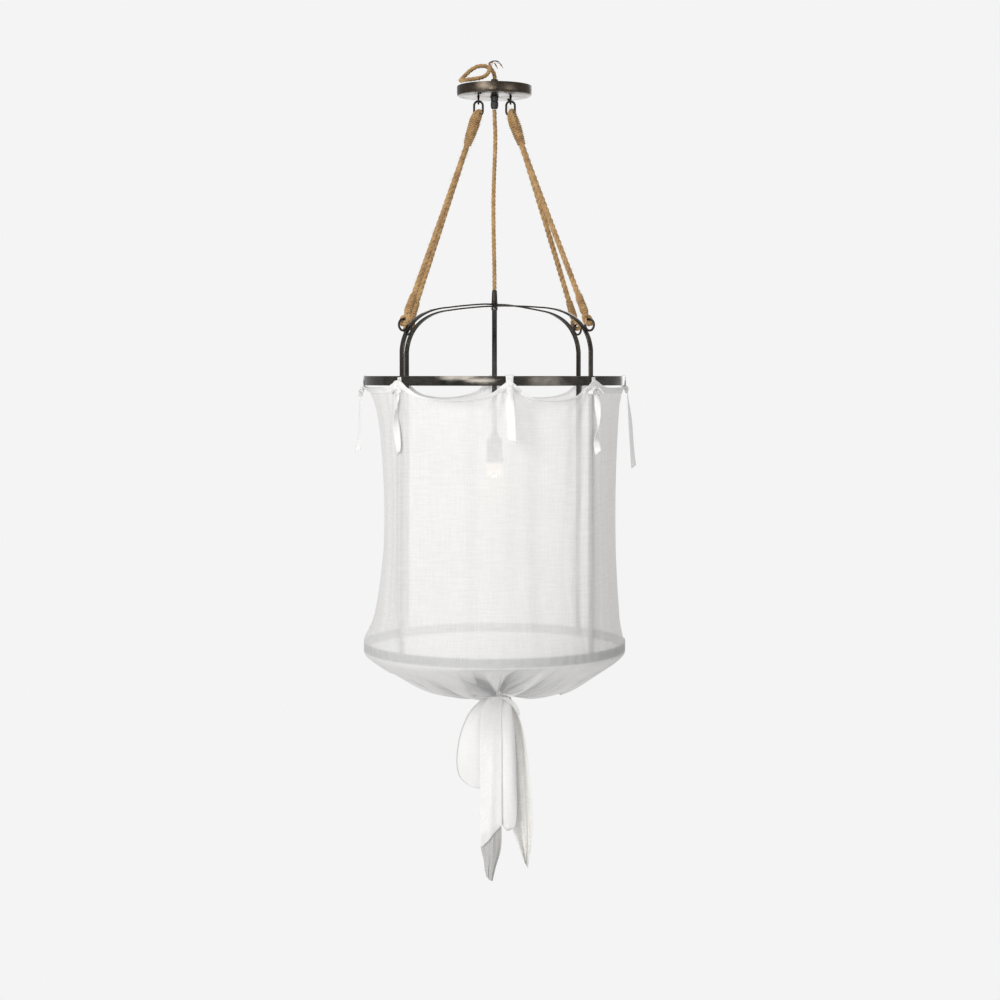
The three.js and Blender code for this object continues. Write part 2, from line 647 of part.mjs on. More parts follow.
// Each level is [z, radius at a side's middle, radius over a strap, share of the gather's offset].
const wallZ = (share) => COVER_TOP_Z + share * (LOW_RING_Z - COVER_TOP_Z);
const COVER_LEVELS = [
  [COVER_TOP_Z, RING_R - 5, COVER_CORNER, 0],
  [wallZ(0.09), WAIST_R + 14, COVER_CORNER, 0],
  [wallZ(0.22), WAIST_R + 6, COVER_CORNER, 0],
  [wallZ(0.42), WAIST_R, COVER_CORNER, 0],
  [wallZ(0.62), WAIST_R + 1, COVER_CORNER, 0],
  [wallZ(0.78), WAIST_R + 9, COVER_CORNER, 0],
  [wallZ(0.91), WAIST_R + 20, COVER_CORNER, 0],
  [LOW_RING_Z + 2, COVER_RING_R, COVER_RING_R, 0],
  [LOW_EDGE_Z - 1.5, COVER_RING_R, COVER_RING_R, 0],
  [bowlZ(0.17), RING_R - 10, RING_R - 10, 0.05],
  [bowlZ(0.47), RING_R * 0.81, RING_R * 0.81, 0.2],
  [bowlZ(0.76), RING_R * 0.64, RING_R * 0.64, 0.4],
  [bowlZ(0.98), RING_R * 0.48, RING_R * 0.48, 0.55],
  [bowlZ(1) - BOWL_SAG, RING_R * 0.29, RING_R * 0.29, 0.75],
  [bowlZ(1) - BOWL_SAG * 0.7, RING_R * 0.14, RING_R * 0.14, 0.9],
  [bowlZ(1), NECK_R, NECK_R, 1],
];

// The right side of the wall stands fuller than the others.
function sideMiddle(turn, middle, corner) {
  const onRight = Math.cos(rad(turn)) > Math.SQRT1_2;
  return onRight && corner > middle ? middle + (RING_R - 5 - middle) * RIGHT_FULLNESS : middle;
}

function coverGeometry() {
  const spots = [];
  const faces = [];
  const rows = COVER_LEVELS.length;
  const lean = (row) => {
    const above = COVER_LEVELS[Math.max(row - 1, 0)];
    const below = COVER_LEVELS[Math.min(row + 1, rows - 1)];
    return v2(above[0] - below[0], below[1] - above[1]).normalize();
  };
  for (const side of [1, -1])
    for (let row = 0; row < rows; row++)
      for (let i = 0; i < COVER_SIDES; i++) {
        const turn = (i * 360) / COVER_SIDES;
        const [z, middle, corner, shift] = COVER_LEVELS[row];
        const out = lean(row).multiplyScalar((side * CLOTH_T) / 2);
        const r = sideRadius(turn, sideMiddle(turn, middle, corner), corner) + out.x;
        const drop = row === 0 ? hemDrop(turn) : 0;
        spots.push(r * Math.cos(rad(turn)) + shift * KNOT_X, r * Math.sin(rad(turn)), z + out.y - drop);
      }
  const spot = (side, row, i) => (side * rows + row) * COVER_SIDES + (i % COVER_SIDES);
  const quad = (a, b, c, d) => faces.push(a, b, c, a, c, d);
  for (let i = 0; i < COVER_SIDES; i++) {
    for (let row = 0; row < rows - 1; row++) {
      quad(spot(0, row, i), spot(0, row + 1, i), spot(0, row + 1, i + 1), spot(0, row, i + 1));
      quad(spot(1, row, i), spot(1, row, i + 1), spot(1, row + 1, i + 1), spot(1, row + 1, i));
    }
    quad(spot(0, 0, i), spot(0, 0, i + 1), spot(1, 0, i + 1), spot(1, 0, i));
    quad(spot(0, rows - 1, i), spot(1, rows - 1, i), spot(1, rows - 1, i + 1), spot(0, rows - 1, i + 1));
  }
  const geometry = new THREE.BufferGeometry();
  geometry.setAttribute("position", new THREE.Float32BufferAttribute(spots, 3));
  geometry.setIndex(faces);
  geometry.computeVertexNormals();
  return geometry;
}

part("shade_cover", coverGeometry(), gauze);

// ---------- Tie ribbons ----------
// Each is tied over the upper hoop and hangs outside; at a strap it lies on the outside only.
const RIBBON_OUT = COVER_CORNER + CLOTH_T / 2 + 1.6;
const RIBBON_IN = STRAP_R - STRAP_T / 2 - GAP - CLOTH_T;
const RIBBONS = [
  ["right", 0, 168, 14],
  ["back_right", 45, 140, 3],
  ["back", 90, 120, 2],
  ["back_left", 135, 132, 4],
  ["left", 180, 138, 3],
  ["front_left", 225, 135, 2],
  ["front", 275, 112, 2],
  ["front_right", 315, 135, 3],
];
for (const [place, turn, length, leanOut] of RIBBONS) {
  const overHoop = turn % 90 !== 45;
  const over = TOP_RING_Z + 1 + CLOTH_T;
  const tail = [
    [RIBBON_OUT, TOP_RING_Z - 3],
    [RIBBON_OUT, TOP_RING_Z - 25],
    [RIBBON_OUT + leanOut * 0.7, TOP_RING_Z - length * 0.6],
    [RIBBON_OUT + leanOut, TOP_RING_Z - length],
  ];
  const loop = [
    [RIBBON_IN, TOP_RING_Z - RING_H + 2],
    [RIBBON_IN, over - 2],
    [RIBBON_IN + 2, over],
    [RIBBON_OUT - 2, over],
  ];
  const line = overHoop ? [...loop, ...tail] : tail;
  part(`tie_ribbon_${place}`, plate(bandOutline(line, CLOTH_T), RIBBON_W).rotateZ(rad(turn)), gauze);
}

// ---------- Knot, bow loop and tails ----------
const KNOT_TOP = LOW_EDGE_Z - BOWL_DEPTH - 1.2;
const KNOT_LOW = KNOT_TOP - KNOT_H;
part(
  "cloth_knot",
  lathe(
    [
      [0, KNOT_TOP],
      [NECK_R - 2, KNOT_TOP],
      [NECK_R + 5, KNOT_TOP - KNOT_H * 0.4],
      [NECK_R + 4, KNOT_TOP - KNOT_H * 0.75],
      [NECK_R - 3, KNOT_LOW],
      [0, KNOT_LOW],
    ],
    16,
  ).translate(KNOT_X, 0, 0),
  gauze,
);

// Flattened cloth shapes under the knot: x from the middle, and drop below the knot.
const TAILS = [
  ["front_tail", -15, 9, [[-18, 0], [-26, -12], [-25, -130], [-23, -262], [-21, -316], [-9, -325], [-3, -308]]
    .concat([[12, -262], [12, -220], [13, -100], [12, 0]])],
  ["bow_loop", -5, 7, [[-14, 0], [-38, -6], [-56, -30], [-66, -62], [-71, -98], [-69, -122], [-60, -134]]
    .concat([[-42, -146], [-30, -154], [-16, -146], [-8, -70], [-4, 0]])],
  ["bow_loop_second", 6, 12, [[10, 0], [9, -110], [10, -216], [22, -231], [36, -226], [40, -190], [38, -90], [26, 0]]],
  ["back_tail", 18, 8, [[12, 0], [14, -150], [30, -236], [54, -300], [62, -302], [70, -252], [71, -186], [67, -140]]
    .concat([[62, -80], [52, -36], [38, -6], [30, 0]])],
];
for (const [name, y, thickness, outline] of TAILS) {
  const drop = KNOT_LOW - GAP;
  part(name, plate(outline.map(([x, z]) => [x, z + drop]), thickness).translate(0, y, 0), gauze);
}

export default lantern;
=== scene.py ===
"""Hanging lantern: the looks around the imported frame. Metres, +Z up, the origin on the ceiling."""
import math
import random

import bpy
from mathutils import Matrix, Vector


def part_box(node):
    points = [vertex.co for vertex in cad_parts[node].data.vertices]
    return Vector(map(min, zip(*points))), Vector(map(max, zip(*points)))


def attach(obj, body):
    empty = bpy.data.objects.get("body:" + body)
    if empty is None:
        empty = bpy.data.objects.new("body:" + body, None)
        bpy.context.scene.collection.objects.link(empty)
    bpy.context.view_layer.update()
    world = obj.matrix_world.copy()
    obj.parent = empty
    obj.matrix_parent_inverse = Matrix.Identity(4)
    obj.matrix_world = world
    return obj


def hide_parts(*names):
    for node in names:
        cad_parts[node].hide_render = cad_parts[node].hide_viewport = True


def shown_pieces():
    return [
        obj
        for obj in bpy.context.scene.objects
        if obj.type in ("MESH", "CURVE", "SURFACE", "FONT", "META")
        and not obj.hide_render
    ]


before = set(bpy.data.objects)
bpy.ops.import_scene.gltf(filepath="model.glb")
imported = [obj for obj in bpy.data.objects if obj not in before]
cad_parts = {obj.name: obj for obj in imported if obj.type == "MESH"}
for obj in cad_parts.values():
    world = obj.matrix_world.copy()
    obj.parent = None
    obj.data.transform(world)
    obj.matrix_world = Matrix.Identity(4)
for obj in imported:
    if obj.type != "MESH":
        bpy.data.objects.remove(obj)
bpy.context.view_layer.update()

MM = 0.001
SEED = 7
STRANDS = 3  # in each rope and cord
scene = bpy.context.scene


def low(node):
    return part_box(node)[0]


def high(node):
    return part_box(node)[1]


def middle(node):
    return (low(node) + high(node)) / 2


# ---------- Levels and radii, read from the frame ----------
RING_R = high("top_ring").x
RING_TOP = high("top_ring").z
RING_LOW = low("top_ring").z
LOWER_TOP = high("bottom_ring").z
LOWER_LOW = low("bottom_ring").z
KNOT = middle("cloth_knot")
KNOT_TOP = high("cloth_knot").z
KNOT_LOW = low("cloth_knot").z
FERRULE_TOP = high("cord_ferrule").z
GRIP_END = low("cord_grip_cap").z
CORD_D = 8 * MM
ROPE_D = 10.5 * MM
SPLICE_R = 4.5 * MM
HOOK_X = abs(middle("link_ring_left").x)
LINK_WIRE_Z = low("link_ring_left").z + 2 * MM

# ---------- Camera: at the height of the upper hoop ----------
EYE_DISTANCE = 3.5
VIEW_WIDTH = 1.846
VIEW_LEFT = 0.0055  # the object stands a little left of the picture's middle
VIEW_DROP = -0.081
VIEW_TILT = math.radians(-1.3)
VIEW_TURN = math.radians(-1.2)  # the frame hangs turned a little about the upright axis


def make_camera():
    data = bpy.data.cameras.new("camera")
    data.sensor_width = 36
    data.lens = 36 * EYE_DISTANCE / VIEW_WIDTH
    data.shift_x = VIEW_LEFT
    data.shift_y = VIEW_DROP
    data.clip_end = 60
    camera = bpy.data.objects.new("camera", data)
    camera.location = (
        EYE_DISTANCE * math.sin(VIEW_TURN), -EYE_DISTANCE * math.cos(VIEW_TURN), RING_TOP,
    )
    camera.rotation_euler = (math.pi / 2 + VIEW_TILT, 0, VIEW_TURN)
    scene.collection.objects.link(camera)
    scene.camera = camera


make_camera()


# ---------- Mesh helpers ----------
def mesh_object(name, points, faces, uvs=None, smooth=True):
    mesh = bpy.data.meshes.new(name)
    mesh.from_pydata([tuple(p) for p in points], [], faces)
    mesh.update()
    if uvs:
        layer = mesh.uv_layers.new(name="UVMap")
        for loop in mesh.loops:
            layer.data[loop.index].uv = uvs[loop.vertex_index]
    if smooth:
        mesh.polygons.foreach_set("use_smooth", [True] * len(mesh.polygons))
    piece = bpy.data.objects.new(name, mesh)
    scene.collection.objects.link(piece)
    return piece


def put(piece, finish, body, node=None):
    """Gives a piece its finish and its body, and the CAD node that it replaces."""
    piece["finish"] = finish
    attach(piece, body)
    if node:
        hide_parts(node)
    return piece


def turns(sides):
    return [2 * math.pi * k / sides for k in range(sides)]


def ring_faces(rows, sides, closed=False, flip=False):
    """Faces between rows of points that close on themselves; closed joins the last row to the first."""
    faces = []
    for i in range(rows if closed else rows - 1):
        here, after = i * sides, (i + 1) % rows * sides
        for k in range(sides):
            n = (k + 1) % sides
            face = (here + k, here + n, after + n, after + k)
            faces.append((face[0], *face[:0:-1]) if flip else face)
    return faces


def grid_faces(rows, across, flip=False):
    """Faces between rows of points with two free edges, across faces in each."""
    faces = []
    for i in range(rows - 1):
        for k in range(across):
            a = i * (across + 1) + k
            b = a + across + 1
            faces.append((a, b, b + 1, a + 1) if flip else (a, a + 1, b + 1, b))
    return faces


def smooth_line(points, step):
    """Points a step apart on a Catmull-Rom curve through the given ones."""
    ends = [points[0] * 2 - points[1], *points, points[-1] * 2 - points[-2]]
    fine = []
    for a, b, c, d in zip(ends, ends[1:], ends[2:], ends[3:]):
        count = max(2, round((c - b).length / step))
        for k in range(count):
            t = k / count
            fine.append(
                0.5 * (2 * b + (c - a) * t + (2 * a - 5 * b + 4 * c - d) * t * t
                       + (3 * b - a - 3 * c + d) * t ** 3)
            )
    return fine + [points[-1]]


def frames_along(line, hint=Vector((0, 1, 0))):
    """(point, side, other side, distance) at each point, turning as little as it can."""
    out = []
    side = hint
    gone = 0.0
    for i, point in enumerate(line):
        run = (line[min(i + 1, len(line) - 1)] - line[max(i - 1, 0)]).normalized()
        side = (side - run * side.dot(run)).normalized()
        gone += (point - line[i - 1]).length if i else 0
        out.append((point, side, run.cross(side), gone))
    return out


def sweep(rows, sides, radius, closed=False):
    """Points, faces and uvs of a round tube through rows of (centre, side, other side, distance)."""
    points, uvs = [], []
    for centre, side, other, gone in rows:
        for k, turn in enumerate(turns(sides)):
            points.append(centre + side * (radius * math.cos(turn)) + other * (radius * math.sin(turn)))
            uvs.append((k / sides, gone))
    faces = ring_faces(len(rows), sides, closed)
    if not closed:
        faces.append(tuple(reversed(range(sides))))
        faces.append(tuple(range(len(points) - sides, len(points))))
    return points, faces, uvs


def merge_shapes(shapes):
    points, faces, uvs = [], [], []
    for more_points, more_faces, more_uvs in shapes:
        start = len(points)
        points += more_points
        uvs += more_uvs
        faces += [tuple(i + start for i in face) for face in more_faces]
    return points, faces, uvs


def laid_rope(name, line, diameter, pitch, sides=8, closed=False):
    """A rope of twisted strands along a finely stepped line."""
    rows = frames_along(line)
    strand_r = diameter * 0.27
    orbit = diameter / 2 - strand_r
    total = rows[-1][3]
    twists = total / pitch
    if closed:
        twists = round(twists)
    shapes = []
    for strand in range(STRANDS):
        centres = []
        for point, side, other, gone in rows:
            turn = 2 * math.pi * (twists * gone / total + strand / STRANDS)
            centres.append(point + side * (orbit * math.cos(turn)) + other * (orbit * math.sin(turn)))
        if closed:
            centres = centres[:-1]
        shapes.append(sweep(frames_along(centres), sides, strand_r, closed))
    return mesh_object(name, *merge_shapes(shapes))


def fuzz(name, line, reach, count, length, seed):
    """Loose fibres that stand off a rope or cord: thin three-sided hairs."""
    rng = random.Random(seed)
    rows = frames_along(line)
    shapes = []
    for _ in range(count):
        point, side, other, _gone = rows[rng.randrange(2, len(rows) - 2)]
        run = side.cross(other)
        turn = rng.uniform(0, 2 * math.pi)
        out = side * math.cos(turn) + other * math.sin(turn)
        start = point + out * reach * 0.9
        along = run * rng.choice((-1, 1)) * rng.uniform(0.5, 1.2)
        size = length * rng.uniform(0.4, 1.0)
        tip = start + (out * rng.uniform(0.3, 0.8) + along).normalized() * size
        bend = (start + tip) / 2 + out * size * rng.uniform(0.0, 0.25)
        hair = frames_along(smooth_line([start, bend, tip], size / 3))
        shapes.append(sweep(hair, 3, 0.09 * MM))
    return mesh_object(name, *merge_shapes(shapes), smooth=False)


# ---------- Ropes, their splices and the cords ----------
LOOP_TOP_R = 7.5 * MM
LOOP_LOW_R = 8.5 * MM
TOP_WHIP_L = 50 * MM
LOW_SPLICE_L = 42 * MM
ROPE_GAP = 0.3 * MM
SHOULDER_EYE_R = 10 * MM
UP = Vector((0, 0, 1))
ACROSS = Vector((0, 1, 0))
SIDES = (("left", -1), ("right", 1))
ENDS = (("front", -1), ("back", 1))


def hook_point(sx):
    return Vector((sx * HOOK_X, 0, LINK_WIRE_Z + LOOP_TOP_R))


def bearing(end, side, sx, sy):
    """Where a rope bears on its shoulder eye: the point of the ring that faces the link ring."""
    centre = middle(f"shoulder_eye_{end}_{side}")
    out = Vector((sx, sy, 0)).normalized()
    pull = hook_point(sx) - centre
    in_plane = (UP * pull.z + out * pull.dot(out)).normalized()
    return centre + in_plane * SHOULDER_EYE_R


def bezier(a, b, c, d, count):
    out = []
    for i in range(count + 1):
        t = i / count
        u = 1 - t
        out.append(a * u ** 3 + b * (3 * u * u * t) + c * (3 * u * t * t) + d * t ** 3)
    return out


def whipping(name, at, run, side, spans, twine, seed):
    """Twine wound round a run; spans holds (distance, half width along side, half width across it)."""
    rng = random.Random(seed)
    other = run.cross(side).normalized()
    first, last = spans[0][0], spans[-1][0]
    rounds = (last - first) / (twine * 2.05)
    steps = int(rounds * 18)
    centres = []
    wobble = [rng.uniform(-1, 1) for _ in range(int(rounds) + 2)]
    for i in range(steps + 1):
        gone = first + (last - first) * i / steps
        for (s0, a0, b0), (s1, a1, b1) in zip(spans, spans[1:]):
            if s0 <= gone <= s1 + 1e-9:
                share = (gone - s0) / (s1 - s0)
                half_side = a0 + (a1 - a0) * share
                half_other = b0 + (b1 - b0) * share
        turn = 2 * math.pi * rounds * i / steps
        loose = wobble[int(turn / 2 / math.pi)] * 0.25 * MM
        centres.append(
            at + run * (gone + loose)
            + side * ((half_side - twine + loose) * math.cos(turn))
            + other * ((half_other - twine + loose) * math.sin(turn))
        )
    return mesh_object(name, *sweep(frames_along(centres, run), 6, twine))


def pair_of_ropes(side, sx):
    body = f"{side}_ropes"
    hook = hook_point(sx)
    aim = bearing("back", side, sx, 1)
    aim.y = 0
    down = (aim - hook).normalized()
    turn = [(66, 5.5), (42, 5.7), (20, 7.0), (7.5, 7.5), (2.2, 5.3), (0, 0)]
    turn += [(s, -y) for s, y in reversed(turn[:-1])]
    line = smooth_line([hook + down * (s * MM) + ACROSS * (y * MM) for s, y in turn], 1.5 * MM)
    u_turn = laid_rope(f"rope_turn_{side}", line, SPLICE_R * 2, 24 * MM)
    spans = [(5 * MM, 9.6 * MM, 7.4 * MM), (12 * MM, 11 * MM, 10 * MM), (28 * MM, 11 * MM, 11 * MM)]
    spans += [(50 * MM, 10.9 * MM, 9.6 * MM), (65 * MM, 10.6 * MM, 7.8 * MM)]
    wound = whipping(f"rope_whipping_{side}", hook, down, ACROSS, spans, 2.0 * MM, seed=3 + sx)
    over = [(24, 8, 5), (12, 6, 7), (3, 1, 6), (-1.5, -5, 3), (3, -7, -4), (14, -4, -8), (28, 3, -8.5)]
    strand = [hook + (down * s + ACROSS * y + down.cross(ACROSS) * x) * MM for s, y, x in over]
    loose = laid_rope(f"rope_eye_strand_{side}", smooth_line(strand, 1.2 * MM), 5.2 * MM, 16 * MM)
    put(loose, "jute", body)
    hairs = fuzz(f"rope_whipping_fibres_{side}", line, 7 * MM, 150, 11 * MM, 20 + sx)
    put(u_turn, "jute", body, f"rope_collar_{side}")
    put(wound, "jute", body)
    put(hairs, "jute", body)
    collar_end = hook + down * (2 * LOOP_TOP_R + TOP_WHIP_L + ROPE_GAP)
    for end, sy in ENDS:
        start = collar_end + ACROSS * (sy * (ROPE_D + ROPE_GAP) / 2)
        eye = bearing(end, side, sx, sy)
        up = (start - eye).normalized()
        foot = eye + up * (LOOP_LOW_R + LOW_SPLICE_L + ROPE_GAP)
        bend = (start - foot).length * 0.12
        route = bezier(start, start + down * bend, foot + up * bend, foot, 150)
        rope = laid_rope(f"rope_{end}_{side}_laid", route, ROPE_D, 36 * MM)
        put(rope, "jute", body, f"rope_{end}_{side}")
        hair = fuzz(f"rope_fibres_{end}_{side}", route, ROPE_D / 2, 170, 10 * MM, 40 + 3 * sx + sy)
        put(hair, "fibre", body)
        splice(f"{end}_{side}", eye, up, Vector((-sy, sx, 0)).normalized(), body)


def splice(place, eye, up, hole, body):
    """The rope's end turned through its shoulder eye, tucked back and whipped."""
    hole = (hole - up * hole.dot(up)).normalized()
    ring = [
        eye + up * (LOOP_LOW_R * math.cos(turn)) + hole * (LOOP_LOW_R * math.sin(turn))
        for turn in (*turns(40), 2 * math.pi)
    ]
    loop = laid_rope(f"splice_loop_{place}", ring, SPLICE_R * 2, 27 * MM, closed=True)
    reach = LOOP_LOW_R + LOW_SPLICE_L
    core_line = smooth_line([eye + up * s for s in (LOOP_LOW_R + 3 * MM, reach / 2 + 8 * MM, reach)], 2 * MM)
    core = laid_rope(f"splice_core_{place}", core_line, ROPE_D, 36 * MM)
    spans = [(12 * MM, 5.8 * MM, 5.8 * MM), (18 * MM, 7.6 * MM, 7.6 * MM), (reach, 6.9 * MM, 6.9 * MM)]
    wound = whipping(f"splice_whipping_{place}", eye, up, hole, spans, 1.7 * MM, seed=len(place))
    hairs = fuzz(f"splice_fibres_{place}", core_line, 6.4 * MM, 45, 8 * MM, 60 + len(place))
    put(loop, "jute", body, f"rope_splice_{place}")
    for piece in (core, wound, hairs):
        put(piece, "jute", body)


# The two cords follow the CAD's routes, in metres.
SURPLUS_ROUTE = [
    (0, 0, GRIP_END / MM + 0.3), (0, 0, -26), (0, 0, -10), (0, 0, 6), (0, 0, 20), (-5, 2, 31), (-16, 5, 38),
    (-30, 6, 38), (-43, 4, 31), (-53, -2, 21), (-60, -12, 12), (-62, -26, 7), (-54, -37, 6.5),
    (-41, -40, 7.5), (-28, -36, 10), (-18, -28, 15), (-12, -19, 22), (-9, -13, 30), (-8, -10, 36),
]
HANGING_ROUTE = [
    (0, 0, GRIP_END / MM - 2.2), (0.4, 0, -62), (1.6, 0.4, -92), (0.4, 0.6, -135), (-1.4, 0, -182),
    (-2, -0.6, -230), (-1.4, -0.4, -280), (-0.3, 0, -330), (0, 0, FERRULE_TOP / MM + 0.8),
]


def cord(name, node, route, body, hairs, seed):
    line = smooth_line([Vector(p) * MM for p in route], 2 * MM)
    piece = laid_rope(name, line, CORD_D, 24 * MM)
    put(piece, "jute", body, node)
    hair = fuzz(f"{name}_fibres", line, CORD_D / 2, hairs, 7 * MM, seed)
    put(hair, "fibre", body)


for side_name, side_sign in SIDES:
    pair_of_ropes(side_name, side_sign)
cord("surplus_cord_laid", "surplus_cord", SURPLUS_ROUTE, "canopy", 110, 5)
cord("hanging_cord_laid", "hanging_cord", HANGING_ROUTE, "power_cord", 110, 6)

WIRES = {
    "live_wire": [(-9.8, -11.6, 38), (-10, -12, 41), (-3, -10, 45), (6, -6, 45), (13, -2, 38)],
    "neutral_wire": [(-6, -11.2, 38), (-4, -13, 40), (2, -15, 42), (9, -15, 40)],
    "earth_wire": [(-7.9, -7.7, 37.6), (-8, -5, 41), (-5, 0, 44), (0, 6, 44), (4, 12, 39)],
}
WIRE_D = 2.2 * MM


def wire(node, route):
    """An insulated lead with a few millimetres of bare copper strands at its end."""
    line = smooth_line([Vector(p) * MM for p in route], 0.8 * MM)
    run = (line[-1] - line[-3]).normalized()
    tip = [line[-1] + run * (k * 0.8 * MM) + Vector((0, 0, -0.06 * MM * k * k)) for k in range(-1, 6)]
    jacket = mesh_object(f"{node}_jacket", *sweep(frames_along(line), 12, WIRE_D / 2))
    copper = laid_rope(f"{node}_strands", tip, WIRE_D * 0.62, 9 * MM, sides=6)
    put(jacket, node, "canopy", node)
    put(copper, "copper", "canopy")


for node_name, node_route in WIRES.items():
    wire(node_name, node_route)


# ---------- Canopy, eyebolts and link rings ----------
def turned(name, profile, sides, body, finish, node=None, at_x=0.0):
    """A turned solid: its profile is (radius, z) pairs, from top to bottom on the outside."""
    points = [(r * math.cos(t) + at_x, r * math.sin(t), z) for r, z in profile for t in turns(sides)]
    piece = mesh_object(name, points, ring_faces(len(profile), sides))
    weld = piece.modifiers.new("weld", "WELD")
    weld.merge_threshold = 0.00001
    crease(piece, 32)
    put(piece, finish, body, node)


def crease(piece, degrees):
    split = piece.modifiers.new("edges", "EDGE_SPLIT")
    split.split_angle = math.radians(degrees)
    split.use_edge_sharp = False


def refine(node, bevel):
    """Smooths a CAD piece for close views: rounded edges, and shading without facets."""
    piece = bpy.data.objects[node]
    if "custom_normal" in piece.data.attributes:
        piece.data.attributes.remove(piece.data.attributes["custom_normal"])
    piece.data.polygons.foreach_set("use_smooth", [True] * len(piece.data.polygons))
    weld = piece.modifiers.new("weld", "WELD")
    weld.merge_threshold = 0.00001
    if bevel:
        edge = piece.modifiers.new("bevel", "BEVEL")
        edge.width = bevel
        edge.segments = 3
        edge.limit_method = "ANGLE"
        edge.angle_limit = math.radians(30)
    crease(piece, 28)


def wire_ring(name, node, centre, first, second, major, minor, body, count, stretch=0.0):
    """A closed wire ring in the plane of two unit vectors; stretch parts its halves along the second."""
    rows = []
    for turn in turns(count):
        radial = first * math.cos(turn) + second * math.sin(turn)
        spread = second * (stretch * max(-1, min(1, math.sin(turn) * 30)))
        rows.append((centre + radial * major + spread, radial, first.cross(second), turn * major))
    put(mesh_object(name, *sweep(rows, 14, minor, closed=True)), "dark_steel", body, node)


def eyebolt(side, sx):
    node = f"eyebolt_{side}"
    top = high(node).z
    centre = Vector((sx * HOOK_X, 0, low(node).z + 7.75 * MM))
    wire_ring(f"eyebolt_eye_{side}", node, centre, ACROSS, UP, 6 * MM, 1.75 * MM, "canopy", 40)
    neck = centre.z + 6 * MM
    shank = [(0.2 * MM, top), (1.6 * MM, top), (2 * MM, top - 0.5 * MM)]
    shank += [(2 * MM, neck + 2.2 * MM), (2.3 * MM, neck + 1.2 * MM), (2.6 * MM, neck - 0.6 * MM)]
    turned(f"eyebolt_shank_{side}", shank, 20, "canopy", "dark_steel", at_x=sx * HOOK_X)
    link = f"link_ring_{side}"
    wire_ring(
        f"{link}_wire", link, middle(link), Vector((1, 0, 0)), UP,
        8 * MM, 2 * MM, "hanging_links", 60, 5 * MM,
    )


for side_name, side_sign in SIDES:
    eyebolt(side_name, side_sign)

for cad_node, cad_bevel in (
    ("canopy_dish", 0.35), ("mounting_crossbar", 0.3), ("canopy_screw_1", 0.2), ("canopy_screw_2", 0.2),
    ("eyebolt_nut_left", 0.25), ("eyebolt_nut_right", 0.25), ("top_ring", 0.4), ("bottom_ring", 0.4),
):
    refine(cad_node, cad_bevel * MM)


# ---------- Straps with their welded shoulder eyes ----------
CROWN_Z = RING_TOP + 130 * MM
STRAP_T = 3 * MM
STRAP_W = 10 * MM
STRAP_R = (RING_R - 3 * MM) * math.cos(math.pi / 72) - 0.3 * MM - STRAP_T / 2


def shoulder_curve(count):
    points = [(125, -7), (STRAP_R / MM - 47, -12), (STRAP_R / MM - 5, -38)]
    ends = [Vector((r * MM, 0, CROWN_Z + z * MM)) for r, z in points]
    return bezier(*ends, Vector((STRAP_R, 0, RING_TOP + 45 * MM)), count)


def strap(name, crown_z, turn, node):
    rise = (CROWN_Z - crown_z) / 2
    crown = [(0, crown_z), (30 * MM, crown_z), (80 * MM, crown_z + rise - 3 * MM)]
    crown = smooth_line([Vector((r, 0, z)) for r, z in crown] + [shoulder_curve(20)[0]], 8 * MM)
    leg = [Vector((STRAP_R, 0, RING_TOP + (45 - k * 53) * MM)) for k in range(1, 11)]
    half = crown + shoulder_curve(40)[1:] + leg + [Vector((STRAP_R, 0, LOWER_LOW))]
    line = [Vector((-p.x, 0, p.z)) for p in reversed(half[1:])] + half
    w, t, edge = STRAP_W / 2, STRAP_T / 2, 0.7 * MM
    section = [(-w, -t + edge), (-w + edge * 0.3, -t + edge * 0.3), (-w + edge, -t), (w - edge, -t)]
    section += [(w - edge * 0.3, -t + edge * 0.3), (w, -t + edge), (w, t - edge)]
    section += [(w - edge * 0.3, t - edge * 0.3), (w - edge, t), (-w + edge, t)]
    section += [(-w + edge * 0.3, t - edge * 0.3), (-w, t - edge)]
    points = []
    cos_t, sin_t = math.cos(turn), math.sin(turn)
    for i, p in enumerate(line):
        run = (line[min(i + 1, len(line) - 1)] - line[max(i - 1, 0)]).normalized()
        out = Vector((-run.z, 0, run.x))
        for a, b in section:
            q = p + out * b
            points.append((q.x * cos_t - a * sin_t, q.x * sin_t + a * cos_t, q.z))
    n = len(section)
    faces = ring_faces(len(line), n)
    faces += [tuple(range(n)), tuple(reversed(range(len(points) - n, len(points))))]
    band = mesh_object(name, points, faces)
    crease(band, 40)
    put(band, "frame_steel", "lantern", node)


LOW_STRAP_Z = CROWN_Z - 1.65 * MM
HIGH_STRAP_Z = CROWN_Z + 1.65 * MM
strap("strap_lower_band", LOW_STRAP_Z, math.radians(-45), "strap_front_left_to_back_right")
strap("strap_upper_band", HIGH_STRAP_Z, math.radians(45), "strap_front_right_to_back_left")


